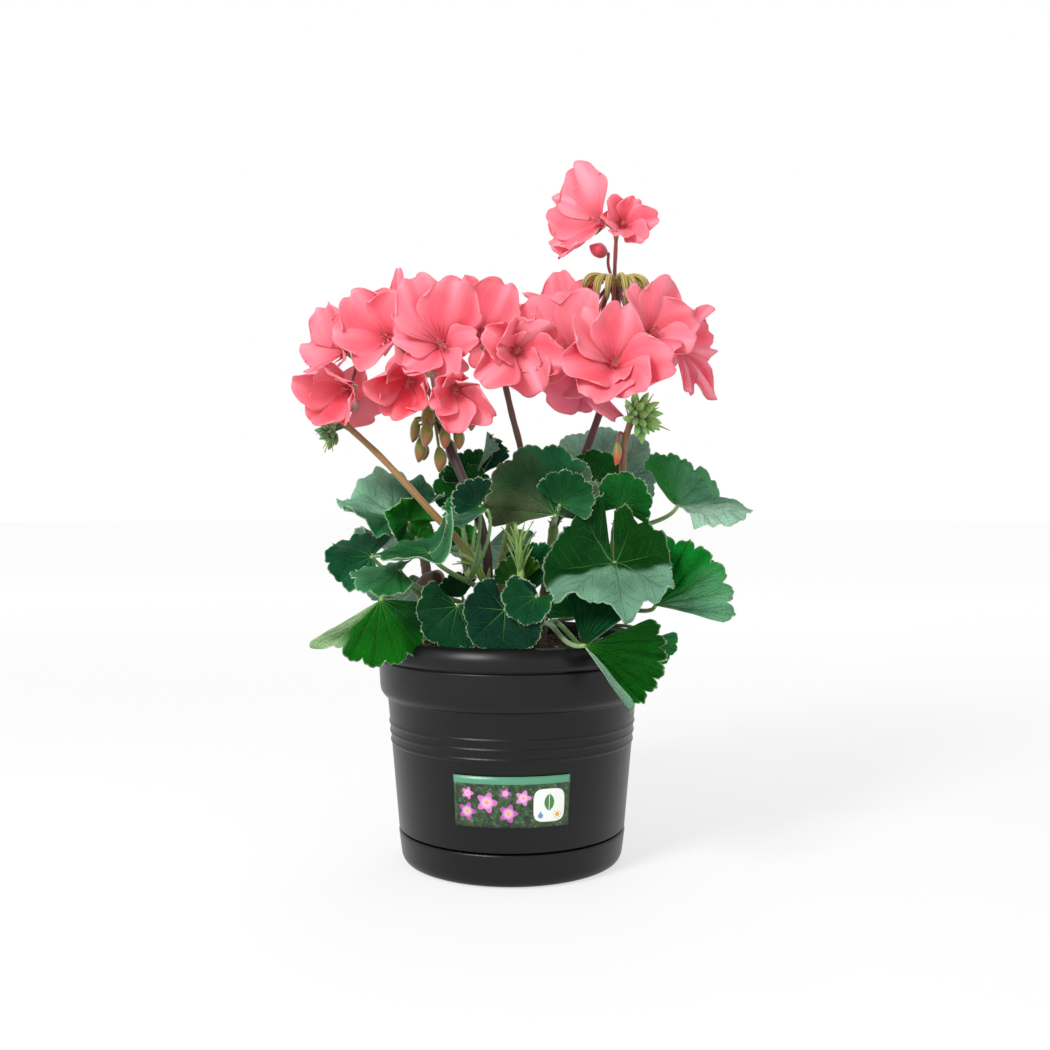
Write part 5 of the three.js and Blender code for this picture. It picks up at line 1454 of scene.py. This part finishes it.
def leafPlace(index):  # where a point of the blade lies, and the leaf's whole form
    name, stem, share, at, tip, face, size, form = leaves[index]
    f = {**flatForm, "phase": chance(index + 50) * 360, **form}
    at, t, n = leafFrame(at, tip, face)
    s = n.cross(t)
    teeth = leafTeeth(f, size)

    def spot(u, v):
        x, y, z = leafSpot(f, size, teeth, mix(f["span"], -f["span"], u), v)
        return at + t * x + s * y + n * z

    return spot, f


def addLeaf(shape, index):
    size = leaves[index][6]
    spot, f = leafPlace(index)
    low, mid, high = [ink(c) for c in f["tones"]]

    # colours across the blade carry painted light and shade, and the fold's colour is a painted sheen towards
    # the tip
    def tint(u, v):
        sway = noise.noise(Vector((u * 5, v * 2, index * 3.7))) * 0.18
        w = u + sway * v
        edge = f["split"]
        ahead = v * math.cos(math.radians(mix(f["span"], -f["span"], u)))
        both = mixInk(high, mid, ease(edge[0], edge[1], w))
        both = mixInk(both, low, ease(edge[2], edge[3], w))
        both = mixInk(both, ink(f["fold"]), ease(f["paintedSheenSpan"][0], f["paintedSheenSpan"][1], ahead + sway))
        return (*[c * blade["deep"] * mix(1, 1.3, ease(0.7, 1, v) * 0.5) for c in both[:3]], 1)

    across = min(blade["lobes"] * leafTeeth(f, size) * blade["perTooth"], blade["most"])
    shape.blade(across, blade["rows"], spot, tint, blade["thickness"], (0, 1, 2))
    route = petiole(leaves[index])
    thick = petioleForm["thick"] * (1 if size > 25 else petioleForm["small"])
    widths = [thick * mix(1.2, 0.8, k / petioleForm["steps"]) for k in range(len(route))]
    shape.tube(route, widths, petioleForm["sides"],
               lambda u, v: shade(petioleForm["low"], petioleForm["high"], v), 3)
    scales(shape, route[1], (route[2] - route[0]).normalized(), "stipule", index, 3)


def makeLeaf(node):
    shape = Shape(["leafTop", "leafUnder", "fringe", "stalk"])
    for index, row in enumerate(leaves):
        if node in (row[0], row[7].get("on")):
            addLeaf(shape, index)
    shape.finish(node + "_blade", "leaf", [node])


# hairs on leaf margins and petioles

hairLook = {"margin": 110, "petiole": 70, "long": 1.1, "thick": 0.09, "tint": "cfe0c0", "seed": 5}


def addHair(shape, root, way, long):
    turn = way.to_track_quat("Z", "Y").to_matrix().to_4x4()
    made = bmesh.ops.create_cone(
        shape.bm, cap_ends=False, segments=3, radius1=hairLook["thick"], radius2=0.0, depth=long,
        matrix=Matrix.Translation(root + way * long * 0.5) @ turn)["verts"]
    for vert in made:
        vert[shape.tint] = ink(hairLook["tint"])


def makeHairs():
    draw = random.Random(hairLook["seed"])
    whole = Shape(["fringe"])
    for index, leaf in enumerate(leaves):
        shape = Shape(["fringe"])
        spot, f = leafPlace(index)
        for k in range(hairLook["margin"]):
            u = draw.random()
            edge, inner = spot(u, 1), spot(u, 0.94)
            way = (edge - inner).normalized() + Vector([draw.uniform(-0.5, 0.5) for _ in range(3)])
            addHair(shape, edge - way * 0.2, way.normalized(), hairLook["long"] * draw.uniform(0.5, 1.3))
        route = petiole(leaf)
        for k in range(hairLook["petiole"]):
            here = route[2].lerp(route[-3], draw.random())
            here = min(route, key=lambda p: (p - here).length)
            way = Vector([draw.uniform(-1, 1) for _ in range(3)]).normalized()
            addHair(shape, here + way * 0.8, way, hairLook["long"] * draw.uniform(0.8, 1.8))
        part = bpy.data.meshes.new("hairs of one leaf")
        shape.bm.to_mesh(part)
        shape.bm.free()
        whole.bm.from_mesh(part)
        bpy.data.meshes.remove(part)
    whole.finish("leaf_hairs", "leaf")


# studio: a world that is bright round the sides and dimmer overhead, and a floor that fades into it

def makeWorld():
    world = bpy.data.worlds.new("studio")
    world.use_nodes = True
    tree = world.node_tree
    way = tree.nodes.new("ShaderNodeTexCoord")
    parts = tree.nodes.new("ShaderNodeSeparateXYZ")
    fade = tree.nodes.new("ShaderNodeMapRange")
    fade.interpolation_type = "SMOOTHSTEP"
    fade.inputs[1].default_value, fade.inputs[2].default_value = studio["dimming"]
    color = tree.nodes.new("ShaderNodeMix")
    color.data_type = "RGBA"
    color.inputs[6].default_value = studio["side"]
    color.inputs[7].default_value = studio["above"]
    tree.links.new(way.outputs["Generated"], parts.inputs[0])
    tree.links.new(parts.outputs[2], fade.inputs[0])
    tree.links.new(fade.outputs[0], color.inputs[0])
    tree.links.new(color.outputs[2], tree.nodes["Background"].inputs["Color"])
    bpy.context.scene.world = world


def makeFloor():
    f = Finish("studio floor")
    away = f.node("ShaderNodeVectorMath", {"operation": "LENGTH"}, (f.place(),), out=1)
    glow = away.over(*studio["glow"])
    grey = f.grain(3.0, 2.0) * 0.01 + studio["floorShade"]
    color = f.node("ShaderNodeCombineXYZ", sockets=(grey, grey, grey))
    near, far = [(studio[key],) * 3 + (1,) for key in ("near", "far")]
    f.done(f.solid(Base_Color=color, Roughness=0.9, Specular_IOR_Level=0.0,
                   Emission_Color=f.both(near, far, glow), Emission_Strength=1.0))
    bm = bmesh.new()
    bmesh.ops.create_circle(bm, cap_ends=True, segments=96, radius=studio["floorRadius"])
    mesh = bpy.data.meshes.new("floor")
    bm.to_mesh(mesh)
    bm.free()
    mesh.materials.append(f.material)
    linked("floor", mesh)


makeCamera()
for name in ("key", "fill", "rim"):
    makeLight(name, **studio[name])
makeWorld()
bpy.context.scene.view_settings.view_transform = "Standard"
makeFloor()
print("making the pot and the soil")
makePot()
makeTurned("saucer_dish", "saucer", saucer)
makeSoil()
makeCrumbs()
makeLabel()
print("making stems and stalks")
for name in stems:
    makeStem(name)
for name in stalks:
    makeStalk(name)
print("making leaves")
for row in leaves:
    if "on" not in row[7]:
        makeLeaf(row[0])
makeHairs()
print("making florets")
for row in florets:
    if "on" not in row[7]:
        makeFloret(row[0])
makeHearts()
print("making buds")
for name in clusters:
    makeCluster(name)
for name in loneBuds:
    makeLoneBud(name)
makeSpent()

triangles = sum(len(face.vertices) - 2 for item in bpy.data.objects
                if item.type == "MESH" and not item.hide_render for face in item.data.polygons)
print("triangles:", triangles)
